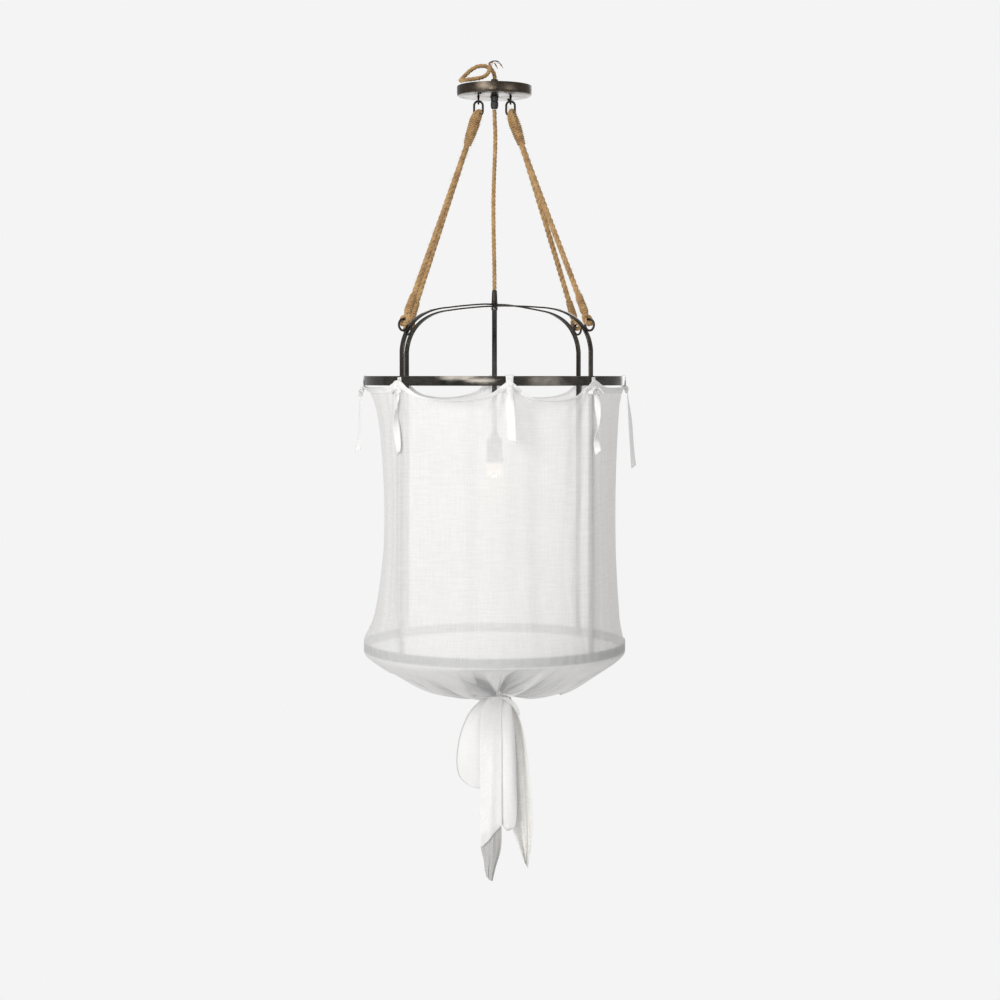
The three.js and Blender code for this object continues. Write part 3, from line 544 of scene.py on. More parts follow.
def shoulder_eye(end, side, sx, sy):
    node = f"shoulder_eye_{end}_{side}"
    centre = middle(node)
    out = Vector((sx, sy, 0)).normalized()
    wire_ring(f"{node}_ring", node, centre, out, UP, SHOULDER_EYE_R, 2 * MM, "lantern", 48)
    curve = shoulder_curve(200)
    reach = centre.xy.length
    near = min(curve, key=lambda p: (p.x - reach) ** 2 + (p.z - centre.z) ** 2)
    foot = Vector((out.x * near.x, out.y * near.x, near.z))
    away = (centre - foot).normalized()
    along = away.cross(out.cross(UP)).normalized()
    points = []
    rows, sides = 9, 20
    for i in range(rows + 1):
        tilt = math.pi / 2 * i / rows
        for turn in turns(sides):
            lump = 1 + 0.10 * math.sin(3 * turn + i) + 0.06 * math.sin(7 * turn)
            spread = math.cos(tilt) * lump
            points.append(
                foot + away * (1.2 * MM + 2.1 * MM * math.sin(tilt))
                + along * (4.6 * MM * spread * math.cos(turn))
                + along.cross(away) * (3.2 * MM * spread * math.sin(turn))
            )
    weld = mesh_object(f"eye_weld_{end}_{side}", points, ring_faces(rows + 1, sides))
    put(weld, "dark_steel", "lantern")


for side_name, side_sign in SIDES:
    for end_name, end_sign in ENDS:
        shoulder_eye(end_name, side_name, side_sign, end_sign)


# ---------- Cord grip, sleeve, hub, post and ferrule ----------
def chamfered(rows, size=0.35 * MM):
    """Rounds the outside corners of a turned profile a little."""
    out = [rows[0]]
    for before, here, after in zip(rows, rows[1:], rows[2:]):
        a = Vector(here) - Vector(before)
        b = Vector(after) - Vector(here)
        near = min(size, a.length * 0.3, b.length * 0.3)
        if abs(a.angle(b, 0)) < 0.5 or near < 0.02 * MM:
            out.append(here)
            continue
        p = Vector(here) - a.normalized() * near
        q = Vector(here) + b.normalized() * near
        out += [tuple(p), tuple(p.lerp(q, 0.5).lerp(Vector(here), 0.35)), tuple(q)]
    return out + [rows[-1]]


def turned_for(node, rows, body, finish):
    turned(f"{node}_turned", chamfered(rows), 48, body, finish, node)


BORE = CORD_D / 2 + 0.3 * MM
BODY_TOP, BODY_LOW = high("cord_grip_body").z, low("cord_grip_body").z
CAP_TOP, CAP_LOW = high("cord_grip_cap").z, low("cord_grip_cap").z
CANOPY_LOW = low("canopy_dish").z
GRIP_R = 7 * MM
flange = CANOPY_LOW - 0.3 * MM
turned_for("cord_grip_body", [
    (BORE, BODY_TOP), (GRIP_R - 1 * MM, BODY_TOP), (GRIP_R - 1 * MM, flange), (GRIP_R + 0.6 * MM, flange),
    (GRIP_R + 0.6 * MM, flange - 3 * MM), (GRIP_R - 0.2 * MM, flange - 4.2 * MM),
    (GRIP_R - 0.2 * MM, BODY_LOW + 1.6 * MM), (GRIP_R - 0.9 * MM, BODY_LOW), (BORE, BODY_LOW),
    (BORE, BODY_TOP),
], "canopy", "black_nylon")


def ribbed_cap():
    """The grip's cap: a ribbed band to turn it by, over a cone that closes on the cord."""
    sides = 120
    rows = [
        (BORE, CAP_TOP, 0), (GRIP_R - 1.2 * MM, CAP_TOP, 0), (GRIP_R - 0.3 * MM, CAP_TOP - 0.5 * MM, 0),
        (GRIP_R - 0.2 * MM, CAP_TOP - 1.2 * MM, 0.2), (GRIP_R, CAP_TOP - 1.8 * MM, 1),
        (GRIP_R, CAP_TOP - 8.2 * MM, 1), (GRIP_R - 0.2 * MM, CAP_TOP - 9 * MM, 0.2),
        (GRIP_R - 0.3 * MM, CAP_TOP - 10.4 * MM, 0), (GRIP_R - 0.9 * MM, CAP_TOP - 12 * MM, 0),
        (GRIP_R - 1.6 * MM, CAP_LOW + 0.4 * MM, 0), (GRIP_R - 2 * MM, CAP_LOW, 0), (BORE, CAP_LOW, 0),
        (BORE, CAP_TOP, 0),
    ]
    points = []
    for radius, z, rib in rows:
        for turn in turns(sides):
            r = radius - rib * 0.45 * MM * (0.5 - 0.5 * math.cos(turn * 24))
            points.append((r * math.cos(turn), r * math.sin(turn), z))
    cap = mesh_object("cord_grip_cap_ribbed", points, ring_faces(len(rows), sides))
    crease(cap, 38)
    put(cap, "black_nylon", "canopy", "cord_grip_cap")


ribbed_cap()
sleeve_low, sleeve_high = low("cord_sleeve").z, high("cord_sleeve").z
turned_for("cord_sleeve", [
    (BORE, sleeve_high), (BORE + 2 * MM, sleeve_high), (BORE + 2.4 * MM, sleeve_high - 1 * MM),
    (BORE + 2.1 * MM, sleeve_high - 5 * MM), (BORE + 2.3 * MM, sleeve_high - 8 * MM),
    (BORE + 2.4 * MM, sleeve_low), (BORE, sleeve_low), (BORE, sleeve_high),
], "canopy", "sleeve_rubber")

SPIGOT = 4.3 * MM
WASHER_TOP, WASHER_LOW = high("hub_washer").z, low("hub_washer").z
turned_for("hub_washer", [
    (SPIGOT, WASHER_TOP), (6 * MM, WASHER_TOP), (6 * MM, WASHER_LOW), (SPIGOT, WASHER_LOW),
    (SPIGOT, WASHER_TOP),
], "lantern", "dark_steel")
FERRULE_LOW = low("cord_ferrule").z
turned_for("cord_ferrule", [
    (2.6 * MM, FERRULE_TOP), (4.0 * MM, FERRULE_TOP), (4.6 * MM, FERRULE_TOP - 0.8 * MM),
    (4.7 * MM, FERRULE_TOP - 3 * MM), (4.45 * MM, FERRULE_TOP - 3.5 * MM), (4.5 * MM, FERRULE_TOP - 4.2 * MM),
    (4.8 * MM, FERRULE_TOP - 4.7 * MM), (5.3 * MM, FERRULE_LOW + 3 * MM), (5.4 * MM, FERRULE_LOW),
    (SPIGOT, FERRULE_LOW),
], "lantern", "dark_steel")
POST_LOW = low("centre_post").z
COLLAR = LOW_STRAP_Z - STRAP_T / 2 - 0.3 * MM
turned_for("centre_post", [
    (4 * MM, FERRULE_LOW + 8 * MM), (4 * MM, COLLAR), (6 * MM, COLLAR), (6 * MM, COLLAR - 5 * MM),
    (4.75 * MM, COLLAR - 5.5 * MM), (4.75 * MM, POST_LOW), (2.6 * MM, POST_LOW),
], "lantern", "post_black")
refine("inner_flex", 0)


# ---------- Lampholder and lamp ----------
HOLDER_TOP = high("lampholder_cap").z
HOLDER_CAP_LOW = low("lampholder_cap").z
turned_for("lampholder_cap", [
    (2.6 * MM, HOLDER_TOP), (6.25 * MM, HOLDER_TOP), (6.6 * MM, HOLDER_TOP - 1.2 * MM),
    (7.75 * MM, HOLDER_TOP - 5 * MM), (10 * MM, HOLDER_TOP - 7.2 * MM), (12.3 * MM, HOLDER_TOP - 9 * MM),
    (14 * MM, HOLDER_TOP - 11 * MM), (14.8 * MM, HOLDER_TOP - 13 * MM), (14.8 * MM, HOLDER_CAP_LOW),
    (2.6 * MM, HOLDER_CAP_LOW),
], "lantern", "black_nylon")
BODY_HIGH, BODY_DOWN = high("lampholder_body").z, low("lampholder_body").z
holder = [(13.5 * MM, BODY_HIGH), (14.8 * MM, BODY_HIGH)]
for groove in range(9):
    z = BODY_HIGH - (6 + groove * 2.4) * MM
    holder += [(14.8 * MM, z), (14.4 * MM, z - 0.6 * MM), (14.8 * MM, z - 1.2 * MM)]
holder += [(14.8 * MM, BODY_DOWN), (13.5 * MM, BODY_DOWN), (13.5 * MM, BODY_HIGH)]
turned("lampholder_body_turned", holder, 48, "lantern", "black_nylon", "lampholder_body")
SHADE_TOP, SHADE_LOW = high("lampholder_shade_ring").z, low("lampholder_shade_ring").z
turned_for("lampholder_shade_ring", [
    (15.1 * MM, SHADE_TOP), (18.5 * MM, SHADE_TOP), (18.5 * MM, SHADE_TOP - 2.2 * MM),
    (16.6 * MM, SHADE_TOP - 2.2 * MM), (16.6 * MM, SHADE_LOW), (15.1 * MM, SHADE_LOW), (15.1 * MM, SHADE_TOP),
], "lantern", "black_nylon")
refine("contact_block", 0.4 * MM)

CAP_HIGH, CAP_DOWN = high("bulb_screw_cap").z, low("bulb_screw_cap").z


def screw_cap():
    """A lamp's rolled thread: the wall bulges along a helix."""
    sides = 60
    rows = [(0.2 * MM, CAP_HIGH), (4.4 * MM, CAP_HIGH), (5 * MM, CAP_HIGH - 0.6 * MM)]
    rows.append((9 * MM, CAP_HIGH - 4 * MM))
    rows += [(12.5 * MM, CAP_HIGH - (5.4 + 0.5 * k) * MM) for k in range(29)]
    rows += [(12.9 * MM, CAP_HIGH - 21 * MM), (12.9 * MM, CAP_DOWN), (0.2 * MM, CAP_DOWN)]
    points = []
    for i, (radius, z) in enumerate(rows):
        for turn in turns(sides):
            wave = math.cos(turn + 2 * math.pi * (z / (3.4 * MM))) if 4 < i < 33 else 0
            r = radius + wave * 0.4 * MM
            points.append((r * math.cos(turn), r * math.sin(turn), z))
    cap = mesh_object("bulb_cap_threaded", points, ring_faces(len(rows), sides))
    crease(cap, 50)
    put(cap, "nickel", "bulb", "bulb_screw_cap")


screw_cap()
GLASS_HIGH, GLASS_LOW = high("bulb_glass").z, low("bulb_glass").z
LAMP_R = 30 * MM
BALL = GLASS_LOW + LAMP_R
glass = [(12.9 * MM, GLASS_HIGH), (13.2 * MM, GLASS_HIGH - 4 * MM), (14.4 * MM, GLASS_HIGH - 8 * MM)]
glass += [
    (LAMP_R * math.cos(math.radians(t)), BALL + LAMP_R * math.sin(math.radians(t)))
    for t in range(52, -90, -6)
]
glass.append((0.15 * MM, GLASS_LOW))
inside = [(max(0.1 * MM, r - 0.9 * MM), z if r > 0.01 else z + 0.9 * MM) for r, z in reversed(glass)]
turned("bulb_glass_blown", glass + inside, 64, "bulb", "lamp_glass", "bulb_glass")


def filament():
    """A short coiled filament on two supports that rise from the stem."""
    top = BALL + 24 * MM
    coil_r = 1.1 * MM
    coil = [
        Vector(((-4 + 8 * k / 120) * MM, coil_r * math.cos(k * 0.7), top + coil_r * math.sin(k * 0.7)))
        for k in range(121)
    ]
    glowing = mesh_object("bulb_filament", *sweep(frames_along(coil, UP), 6, 0.4 * MM))
    put(glowing, "filament", "bulb")
    shapes = []
    for sign in (-1, 1):
        a = Vector((sign * 1.5 * MM, 0, BALL + 36 * MM))
        b = Vector((sign * 4.2 * MM, 0, top))
        shapes.append(sweep(frames_along([a.lerp(b, i / 6) for i in range(7)]), 8, 0.3 * MM))
    supports = mesh_object("bulb_filament_supports", *merge_shapes(shapes))
    put(supports, "nickel", "bulb")
    stem = [(4.5 * MM, GLASS_HIGH - 1 * MM), (2.6 * MM, GLASS_HIGH - 8 * MM), (2.2 * MM, BALL + 36 * MM)]
    turned("bulb_stem", stem + [(0.2 * MM, BALL + 35 * MM)], 24, "bulb", "lamp_glass")


filament()


# ---------- Cloth cover ----------
COVER_TOP = RING_LOW - 1.5 * MM
HEM_SAG = 17 * MM
CORNER_R = STRAP_R + STRAP_T / 2 + 3.8 * MM
HOOP_R = RING_R + 1.4 * MM
WAIST_R = RING_R - 36 * MM
BOWL_DEPTH = LOWER_LOW - KNOT_TOP - 1.2 * MM
KNOT_X = KNOT.x
NECK_R = 12 * MM
BOWL_SAG = 10 * MM


def wall_z(share):
    return COVER_TOP + share * (LOWER_TOP - COVER_TOP)


def bowl_z(share):
    return LOWER_LOW - 1.5 * MM - share * (BOWL_DEPTH - 1.5 * MM)


# Each level: height, radius at a side's middle, radius over a strap, share of the gather's offset.
LEVELS = [
    (COVER_TOP, RING_R - 5 * MM, CORNER_R, 0), (wall_z(0.09), WAIST_R + 14 * MM, CORNER_R, 0),
    (wall_z(0.22), WAIST_R + 6 * MM, CORNER_R, 0), (wall_z(0.42), WAIST_R, CORNER_R, 0),
    (wall_z(0.62), WAIST_R + 1 * MM, CORNER_R, 0), (wall_z(0.78), WAIST_R + 9 * MM, CORNER_R, 0),
    (wall_z(0.91), WAIST_R + 20 * MM, CORNER_R, 0), (LOWER_TOP + 2 * MM, HOOP_R, HOOP_R, 0),
    (LOWER_LOW - 1.5 * MM, HOOP_R, HOOP_R, 0), (bowl_z(0.17), RING_R - 10 * MM, RING_R - 10 * MM, 0.05),
    (bowl_z(0.47), RING_R * 0.81, RING_R * 0.81, 0.2), (bowl_z(0.76), RING_R * 0.64, RING_R * 0.64, 0.4),
    (bowl_z(0.93), RING_R * 0.48, RING_R * 0.48, 0.55),
    (bowl_z(1) - BOWL_SAG * 0.4, RING_R * 0.29, RING_R * 0.29, 0.75),
    (bowl_z(1) - BOWL_SAG * 0.3, RING_R * 0.14, RING_R * 0.14, 0.9), (bowl_z(1), NECK_R, NECK_R, 1),
]
EDGE_LEVEL = 8  # the level at the lower hoop's bottom edge
rng_cloth = random.Random(SEED)
TIES = [0, 45, 90, 135, 180, 225, 275, 315]
# Soft upright folds of the wall: cycles round the cover, depth, phase, change of phase down the wall.
WALL_FOLDS = [
    (n, depth * MM, rng_cloth.uniform(0, 6.28), rng_cloth.uniform(-2.2, 2.2))
    for n, depth in ((5, 1.0), (9, 0.9), (14, 0.8), (23, 0.55), (37, 0.3))
]
BOWL_FOLDS = 30
fold_places = []
for fold_index in range(BOWL_FOLDS):
    fold_turn = (fold_index + 0.75 + rng_cloth.uniform(-0.3, 0.3)) * 2 * math.pi / BOWL_FOLDS
    fold_places.append((fold_turn, rng_cloth.uniform(0.5, 1.5), rng_cloth.uniform(0.0, 0.3)))


def side_radius(turn, mid, corner):
    """A side is an arc through its middle and its two corners."""
    off = math.radians(abs(((turn + 45 + 360) % 90) - 45))
    if corner - mid < 0.05 * MM:
        return mid
    flat = corner * math.sqrt(0.5)
    if flat >= mid:
        return mid + (corner - mid) * (off / math.radians(45)) ** 2
    arc_r = ((flat - mid) ** 2 + flat ** 2) / (2 * (mid - flat))
    arc_x = mid - arc_r
    return arc_x * math.cos(off) + math.sqrt(arc_r ** 2 - (arc_x * math.sin(off)) ** 2)


def level_at(place):
    """Smooth values at a place along the levels, which are numbered from the hem down."""
    last = len(LEVELS) - 1
    i = min(int(place), last - 1)
    t = place - i
    rows = [LEVELS[max(0, min(last, k))] for k in (i - 1, i, i + 1, i + 2)]
    out = []
    for a, b, c, d in zip(*rows):
        out.append(0.5 * (2 * b + (c - a) * t + (2 * a - 5 * b + 4 * c - d) * t * t
                          + (3 * b - a - 3 * c + d) * t ** 3))
    return out


def angle_between(turn, other):
    return (turn - other + 540) % 360 - 180


def tie_pull(turn, below):
    """Puckers that fan out below each tie, and the hollow between two of them."""
    out = 0.0
    for tie in TIES:
        off = angle_between(turn, tie)
        near = math.exp(-((off / (3.5 + below / MM * 0.13)) ** 2))
        ripple = math.cos(off * 2 * math.pi / (3.2 + below / MM * 0.075) + tie)
        out += near * ripple * 2.3 * MM * math.exp(-below / (62 * MM))
    return out


def near_tie(turn, width):
    return max(math.exp(-((angle_between(turn, tie) / width) ** 2)) for tie in TIES)


def hem_drop(turn):
    ends = TIES + [360]
    here = turn % 360
    bays = [math.sin(math.pi * (here - a) / (b - a)) for a, b in zip(ends, ends[1:]) if a <= here <= b]
    bay = max(bays, default=0)
    deep = 1 if abs(math.sin(math.radians(turn))) > math.sqrt(0.5) else 0.15
    sag = HEM_SAG * bay ** 0.8 * deep * (1.45 + 0.08 * math.sin(math.radians(turn * 3)))
    return sag - 12.5 * MM * near_tie(turn, 5.5)


def fold_height(turn_rad, share):
    """Gathers of the bowl: ridges that start at different places and run in to the knot."""
    out = 0.0
    width = 0.062 + 0.03 * share
    for centre, depth, start in fold_places:
        off = (turn_rad - centre + math.pi) % (2 * math.pi) - math.pi
        bend = off + 0.05 * math.sin(3 * share + centre * 5)
        if abs(bend) > 4 * width:
            continue
        grown = max(0.0, (share - start) / (1 - start)) ** 0.8
        out += depth * grown * (math.exp(-abs(bend / width) ** 1.5) - 0.4)
    return out


def fold_shade(turn_rad, share):
    """How much painted shade a place of the bowl gets: the sunken parts of the gathers, and thin creases
    beside the ridges.
    """
    if share <= 0:
        return 0.0
    width = 0.062 + 0.03 * share
    out = 0.7 * max(0, -fold_height(turn_rad, share))
    for centre, depth, start in fold_places:
        off = (turn_rad - centre + math.pi) % (2 * math.pi) - math.pi
        bend = off + 0.05 * math.sin(3 * share + centre * 5) - 1.15 * width
        grown = max(0.0, (share - start * 1.6) / (1 - start * 1.6))
        out += 0.8 * depth * grown * math.exp(-((bend / (0.2 * width)) ** 2))
    return out


RIGHT_FULLNESS = 0.55


def cover_point(turn, place, lift=0.0):
    """A point of the cover at a turn in degrees and a place along the levels."""
    z, mid, corner, shift = level_at(place)
    turn_rad = math.radians(turn)
    if math.cos(turn_rad) > math.sqrt(0.5) and corner > mid:
        mid += (RING_R - 5 * MM - mid) * RIGHT_FULLNESS
    radius = side_radius(turn, mid, corner)
    if 6.5 < place < EDGE_LEVEL + 0.5:
        radius = min(radius, HOOP_R)
    below = COVER_TOP - z
    if place <= EDGE_LEVEL:
        wall = min(1, max(0, (z - LOWER_TOP) / (60 * MM)))
        for n, depth, phase, drift in WALL_FOLDS:
            radius += wall * depth * math.sin(n * turn_rad + phase + drift * below / (500 * MM))
        radius += tie_pull(turn, below) * wall
        off_corner = 45 - abs(((turn + 45 + 360) % 90) - 45)
        for bend, reach in ((5.5, 1.2), (11.5, 0.7)):
            wave = bend + 1.6 * math.sin(below / (70 * MM) + turn // 90)
            radius -= wall * reach * MM * math.exp(-(((off_corner - wave) / 1.7) ** 2))
        z += 0.0 if place > 0.9 else -hem_drop(turn) * (1 - place / 0.9)
        if z > RING_LOW - 10 * MM:
            radius = max(radius, RING_R + 1.3 * MM - max(0, RING_LOW - 4 * MM - z) * 1.2)
        radius += 0.25 * MM * math.sin(turn_rad * 61 + 2 * math.sin(7 * turn_rad)) * (1 - wall) * (place < 8)
    else:
        share = min(1.0, (place - EDGE_LEVEL) / (len(LEVELS) - 1 - EDGE_LEVEL))
        slope = min(1.0, share * 6)
        straight = LOWER_LOW - 1.5 * MM - (HOOP_R - radius) / (HOOP_R - NECK_R) * (BOWL_DEPTH - 1.5 * MM)
        notch = math.exp(-((angle_between(turn, 273) / 24) ** 2))
        z += notch * 0.92 * max(0, straight - z)
        depth = (5 + 15 * math.sin(math.pi * min(0.9, share))) * MM
        depth *= min(1, (radius / (60 * MM)) ** 0.8)
        fold = fold_height(turn_rad, share) * depth * slope
        z -= fold * (0.75 + 0.25 * share)
        radius += fold * 0.55 * (1 - share)
    return Vector((
        (radius + lift) * math.cos(turn_rad) + shift * KNOT_X, (radius + lift) * math.sin(turn_rad), z,
    ))


def thickness(piece, amount):
    solid = piece.modifiers.new("thickness", "SOLIDIFY")
    solid.thickness = amount
    solid.offset = 0
    solid.use_quality_normals = False


def shadow(piece, values):
    """The attribute that the cloth paint reads to darken a piece as painted shade."""
    attribute = piece.data.attributes.new("hollow", "FLOAT", "POINT")
    attribute.data.foreach_set("value", values)


def cover():
    columns = 720
    places = [k * 0.1 for k in range(10)] + [0.9 + k * 0.125 for k in range(1, 49)]
    places += [6.9 + k * 0.11 for k in range(1, 21)] + [9.1 + k * 0.1 for k in range(1, 60)]
    places = [p for p in places if p < len(LEVELS) - 1.01] + [len(LEVELS) - 1]
    points, uvs, painted_fold_shade = [], [], []
    for place in places:
        for k in range(columns + 1):
            turn = 360 * k / columns
            point = cover_point(turn, place)
            points.append(point)
            share = (place - EDGE_LEVEL) / (len(LEVELS) - 1 - EDGE_LEVEL)
            # Painted shade for the bowl's gathers, kept per point for the cloth paint to darken.
            painted_fold_shade.append(fold_shade(math.radians(turn), share))
            uvs.append((math.radians(turn) * RING_R, place * 52 * MM))
    piece = mesh_object("shade_cover_gauze", points, grid_faces(len(places), columns, flip=True), uvs)
    shadow(piece, painted_fold_shade)
    weld = piece.modifiers.new("weld", "WELD")
    weld.merge_threshold = 0.00002
    return put(piece, "gauze", "lantern", "shade_cover")


def cover_hem():
    """The cover's top edge, turned down twice and stitched: a denser band."""
    columns = 540
    rows = (0, 0.4, 0.8, 3, 6, 9, 12, 12.9, 13.2)
    lifts = (0.2, 0.75, 1.0, 0.85, 0.8, 0.75, 0.9, 0.85, 0.3)
    points, uvs = [], []
    for row, lift in zip(rows, lifts):
        for k in range(columns + 1):
            turn = 360 * k / columns
            here = cover_point(turn, 0.02 + row * MM / (0.09 * (COVER_TOP - LOWER_TOP)), lift * MM)
            here.z += 0.5 * MM if row < 0.5 else 0
            points.append(here)
            uvs.append((math.radians(turn) * RING_R, row * MM))
    piece = mesh_object("cover_hem_band", points, grid_faces(len(rows), columns, flip=True), uvs)
    thickness(piece, 0.5 * MM)
    return put(piece, "hem", "lantern")


cover_piece = cover()
hem_piece = cover_hem()


# ---------- Ribbons ----------
RIBBON_W = 12 * MM
RIBBON_OUT = CORNER_R + 2.2 * MM


def strip(name, rows, finish="ribbon", step=2.5 * MM, slant=0):
    """A ribbon: rows are (centre, side, half width, bow), and its end is cut at a slant."""
    across = 8
    centres = smooth_line([r[0] for r in rows], step)
    counts = [max(2, round((b[0] - a[0]).length / step)) for a, b in zip(rows, rows[1:])]
    sides, widths, bows = [], [], []
    for (_, side_a, width_a, bow_a), (_, side_b, width_b, bow_b), count in zip(rows, rows[1:], counts):
        for k in range(count):
            t = k / count
            t = t * t * (3 - 2 * t)
            sides.append(side_a.normalized().lerp(side_b.normalized(), t).normalized())
            widths.append(width_a + (width_b - width_a) * t)
            bows.append(bow_a + (bow_b - bow_a) * t)
    sides.append(rows[-1][1].normalized())
    widths.append(rows[-1][2])
    bows.append(rows[-1][3])
    points, uvs = [], []
    gone = 0.0
    for i, centre in enumerate(centres):
        run = centres[min(i + 1, len(centres) - 1)] - centres[max(i - 1, 0)]
        side = sides[i] - run * (sides[i].dot(run) / max(run.length_squared, 1e-12))
        side.normalize()
        out = run.normalized().cross(side)
        gone += (centre - centres[i - 1]).length if i else 0
        for k in range(across + 1):
            u = 2 * k / across - 1
            cut = slant * u * MM if i == len(centres) - 1 else 0
            points.append(
                centre + side * (widths[i] * u) + out * (bows[i] * (1 - u * u)) + run.normalized() * cut
            )
            uvs.append((widths[i] * u, gone))
    piece = mesh_object(name, points, grid_faces(len(centres), across), uvs)
    thickness(piece, 0.35 * MM)
    put(piece, finish, "lantern")
    return piece, gone


def small_knot(name, centre, along, out, size, seed):
    """An overhand knot in a ribbon: a wrapped lump with a few soft ridges across it."""
    across = along.cross(out).normalized()
    points, uvs = [], []
    rows, sides = 16, 30
    phase = random.Random(seed).uniform(0, 6)
    for i in range(rows + 1):
        tilt = math.pi * i / rows
        for turn in turns(sides):
            ridge = 1 + 0.13 * math.sin(3 * tilt + 2 * turn + phase) + 0.05 * math.sin(9 * tilt - 3 * turn)
            r = math.sin(tilt) ** 0.75 * ridge
            points.append(
                centre + along * (-size[0] * math.cos(tilt))
                + across * (size[1] * r * math.cos(turn)) + out * (size[2] * r * math.sin(turn))
            )
            uvs.append((turn * size[1], tilt * size[0]))
    return put(mesh_object(name, points, ring_faces(rows + 1, sides), uvs), "ribbon", "lantern")


def ribbon(place, turn_deg, length, lean, twist, over_hoop, ears, half=RIBBON_W / 2):
    """A tie ribbon: round the upper hoop, through the hem, knotted outside, with one long tail."""
    turn = math.radians(turn_deg)
    out = Vector((math.cos(turn), math.sin(turn), 0))
    side = Vector((-math.sin(turn), math.cos(turn), 0))

    def at(radius, z, along=0.0):
        return out * radius + side * (along * MM) + UP * z

    top = RING_TOP
    knot_z = top - 25 * MM
    rows = []
    if over_hoop:
        inner = RING_R - 5 * MM
        rows += [
            (at(RIBBON_OUT - 1 * MM, knot_z, -1), side, half * 0.45, 0.5 * MM),
            (at(RIBBON_OUT - 4.6 * MM, COVER_TOP - 2.4 * MM, -1), side, half * 0.6, 0),
            (at(inner - 1.2 * MM, RING_LOW - 1.0 * MM, 0), side, half * 0.8, 0),
            (at(inner - 0.2 * MM, (RING_LOW + top) / 2, 0.3), side, half * 0.86, 0),
            (at(inner + 0.6 * MM, top + 0.6 * MM, 0.3), side, half * 0.86, 0),
            (at(RING_R - 1 * MM, top + 1.6 * MM, 0), side, half * 0.86, 0),
            (at(RING_R + 1.4 * MM, top - 1.5 * MM, 0), side, half * 0.84, 0),
            (at(RING_R + 1.6 * MM, (RING_LOW + top) / 2, 0), side, half * 0.8, 0),
            (at(RIBBON_OUT + 0.2 * MM, knot_z + 6 * MM, 0.5), side, half * 0.6, 0.6 * MM),
            (at(RIBBON_OUT + 1.6 * MM, knot_z, 1), side, half * 0.45, 0.8 * MM),
        ]
    else:
        for k, (radius, z, wide) in enumerate((
            (RING_R + 1.3 * MM, top - 2 * MM, 0.75), (RING_R + 1.5 * MM, top - 9 * MM, 0.82),
            (RING_R + 1.7 * MM, RING_LOW + 1 * MM, 0.75), (RIBBON_OUT + 1.2 * MM, knot_z, 0.45),
        )):
            rows.append((at(radius, z, 0.4 * k), side, half * wide, 0.5 * MM * (k % 2)))
    loop_piece = strip(f"ribbon_{place}_loop", rows)[0]
    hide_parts(f"tie_ribbon_{place}")

    tail_rows = []
    drop = length * MM - 25 * MM
    for k in range(9):
        share = k / 8
        z = knot_z - drop * share
        sway = math.sin(share * 3.1 + turn_deg) * 2.2 * share
        angle = math.radians(twist) * (share ** 1.2) + 0.25 * math.sin(share * 5 + turn_deg)
        face = side * math.cos(angle) + out * math.sin(angle)
        radius = RIBBON_OUT + 2 * MM + lean * MM * share + abs(math.sin(angle)) * half * 0.9
        wide = half * (0.45 + 0.55 * min(1, share * 3.5))
        tail_rows.append((at(radius, z, 1 + sway), face, wide, (1.2 - 1.4 * share) * MM))
    tail_piece, tail_length = strip(f"ribbon_{place}_tail", tail_rows, slant=3.5 if turn_deg % 2 else -3)
    lump = small_knot(
        f"ribbon_{place}_knot", at(RIBBON_OUT + 1.8 * MM, knot_z, 0.8), UP, out, (7 * MM, 6.2 * MM, 3.6 * MM),
        int(turn_deg),
    )
    for n, (lean_side, lean_down, size) in enumerate(ears):
        ear = []
        for k in range(9):
            share = k / 8
            arc = 2 * math.pi * share
            reach = size * (1 - math.cos(arc)) / 2
            spread = math.sin(arc) * size * 0.22
            go = side * lean_side - UP * lean_down
            centre = at(RIBBON_OUT + 4 * MM, knot_z, 1) + go.normalized() * reach * MM
            centre += go.normalized().cross(out) * spread * MM + out * (1.5 * MM * math.sin(arc / 2))
            face = out * math.cos(arc * 0.3) + side * 0.25
            ear.append((centre, face, half * 0.72, 0.4 * MM))
        strip(f"ribbon_{place}_bow_{n + 1}", ear, step=1.5 * MM)


ribbon("right", 0, 168, 9, 70, True, [])
ribbon("back_right", 45, 140, 3, 160, False, [])
ribbon("back", 90, 120, 2, 60, True, [])
ribbon("back_left", 135, 132, 4, -150, False, [])
ribbon("left", 180, 138, 3, -60, True, [(0.5, 1.0, 13)])
ribbon("front_left", 225, 135, 2, 200, False, [(-0.8, 0.5, 12)])
ribbon("front", 275, 112, 2, 25, True, [], 8 * MM)
ribbon("front_right", 315, 135, 3, 260, False, [(-0.9, 0.25, 17), (0.9, 0.5, 15)])


# ---------- Knot, bow loop and tails ----------
def spots(outline, rows):
    """Evenly spaced places down an outline of (x, drop) points, in millimetres."""
    line = smooth_line([Vector((x, 0, z)) for x, z in outline], 2)
    out = []
    for k in range(rows + 1):
        exact = k / rows * (len(line) - 1)
        i = min(int(exact), len(line) - 2)
        out.append(line[i].lerp(line[i + 1], exact - i))
    return out


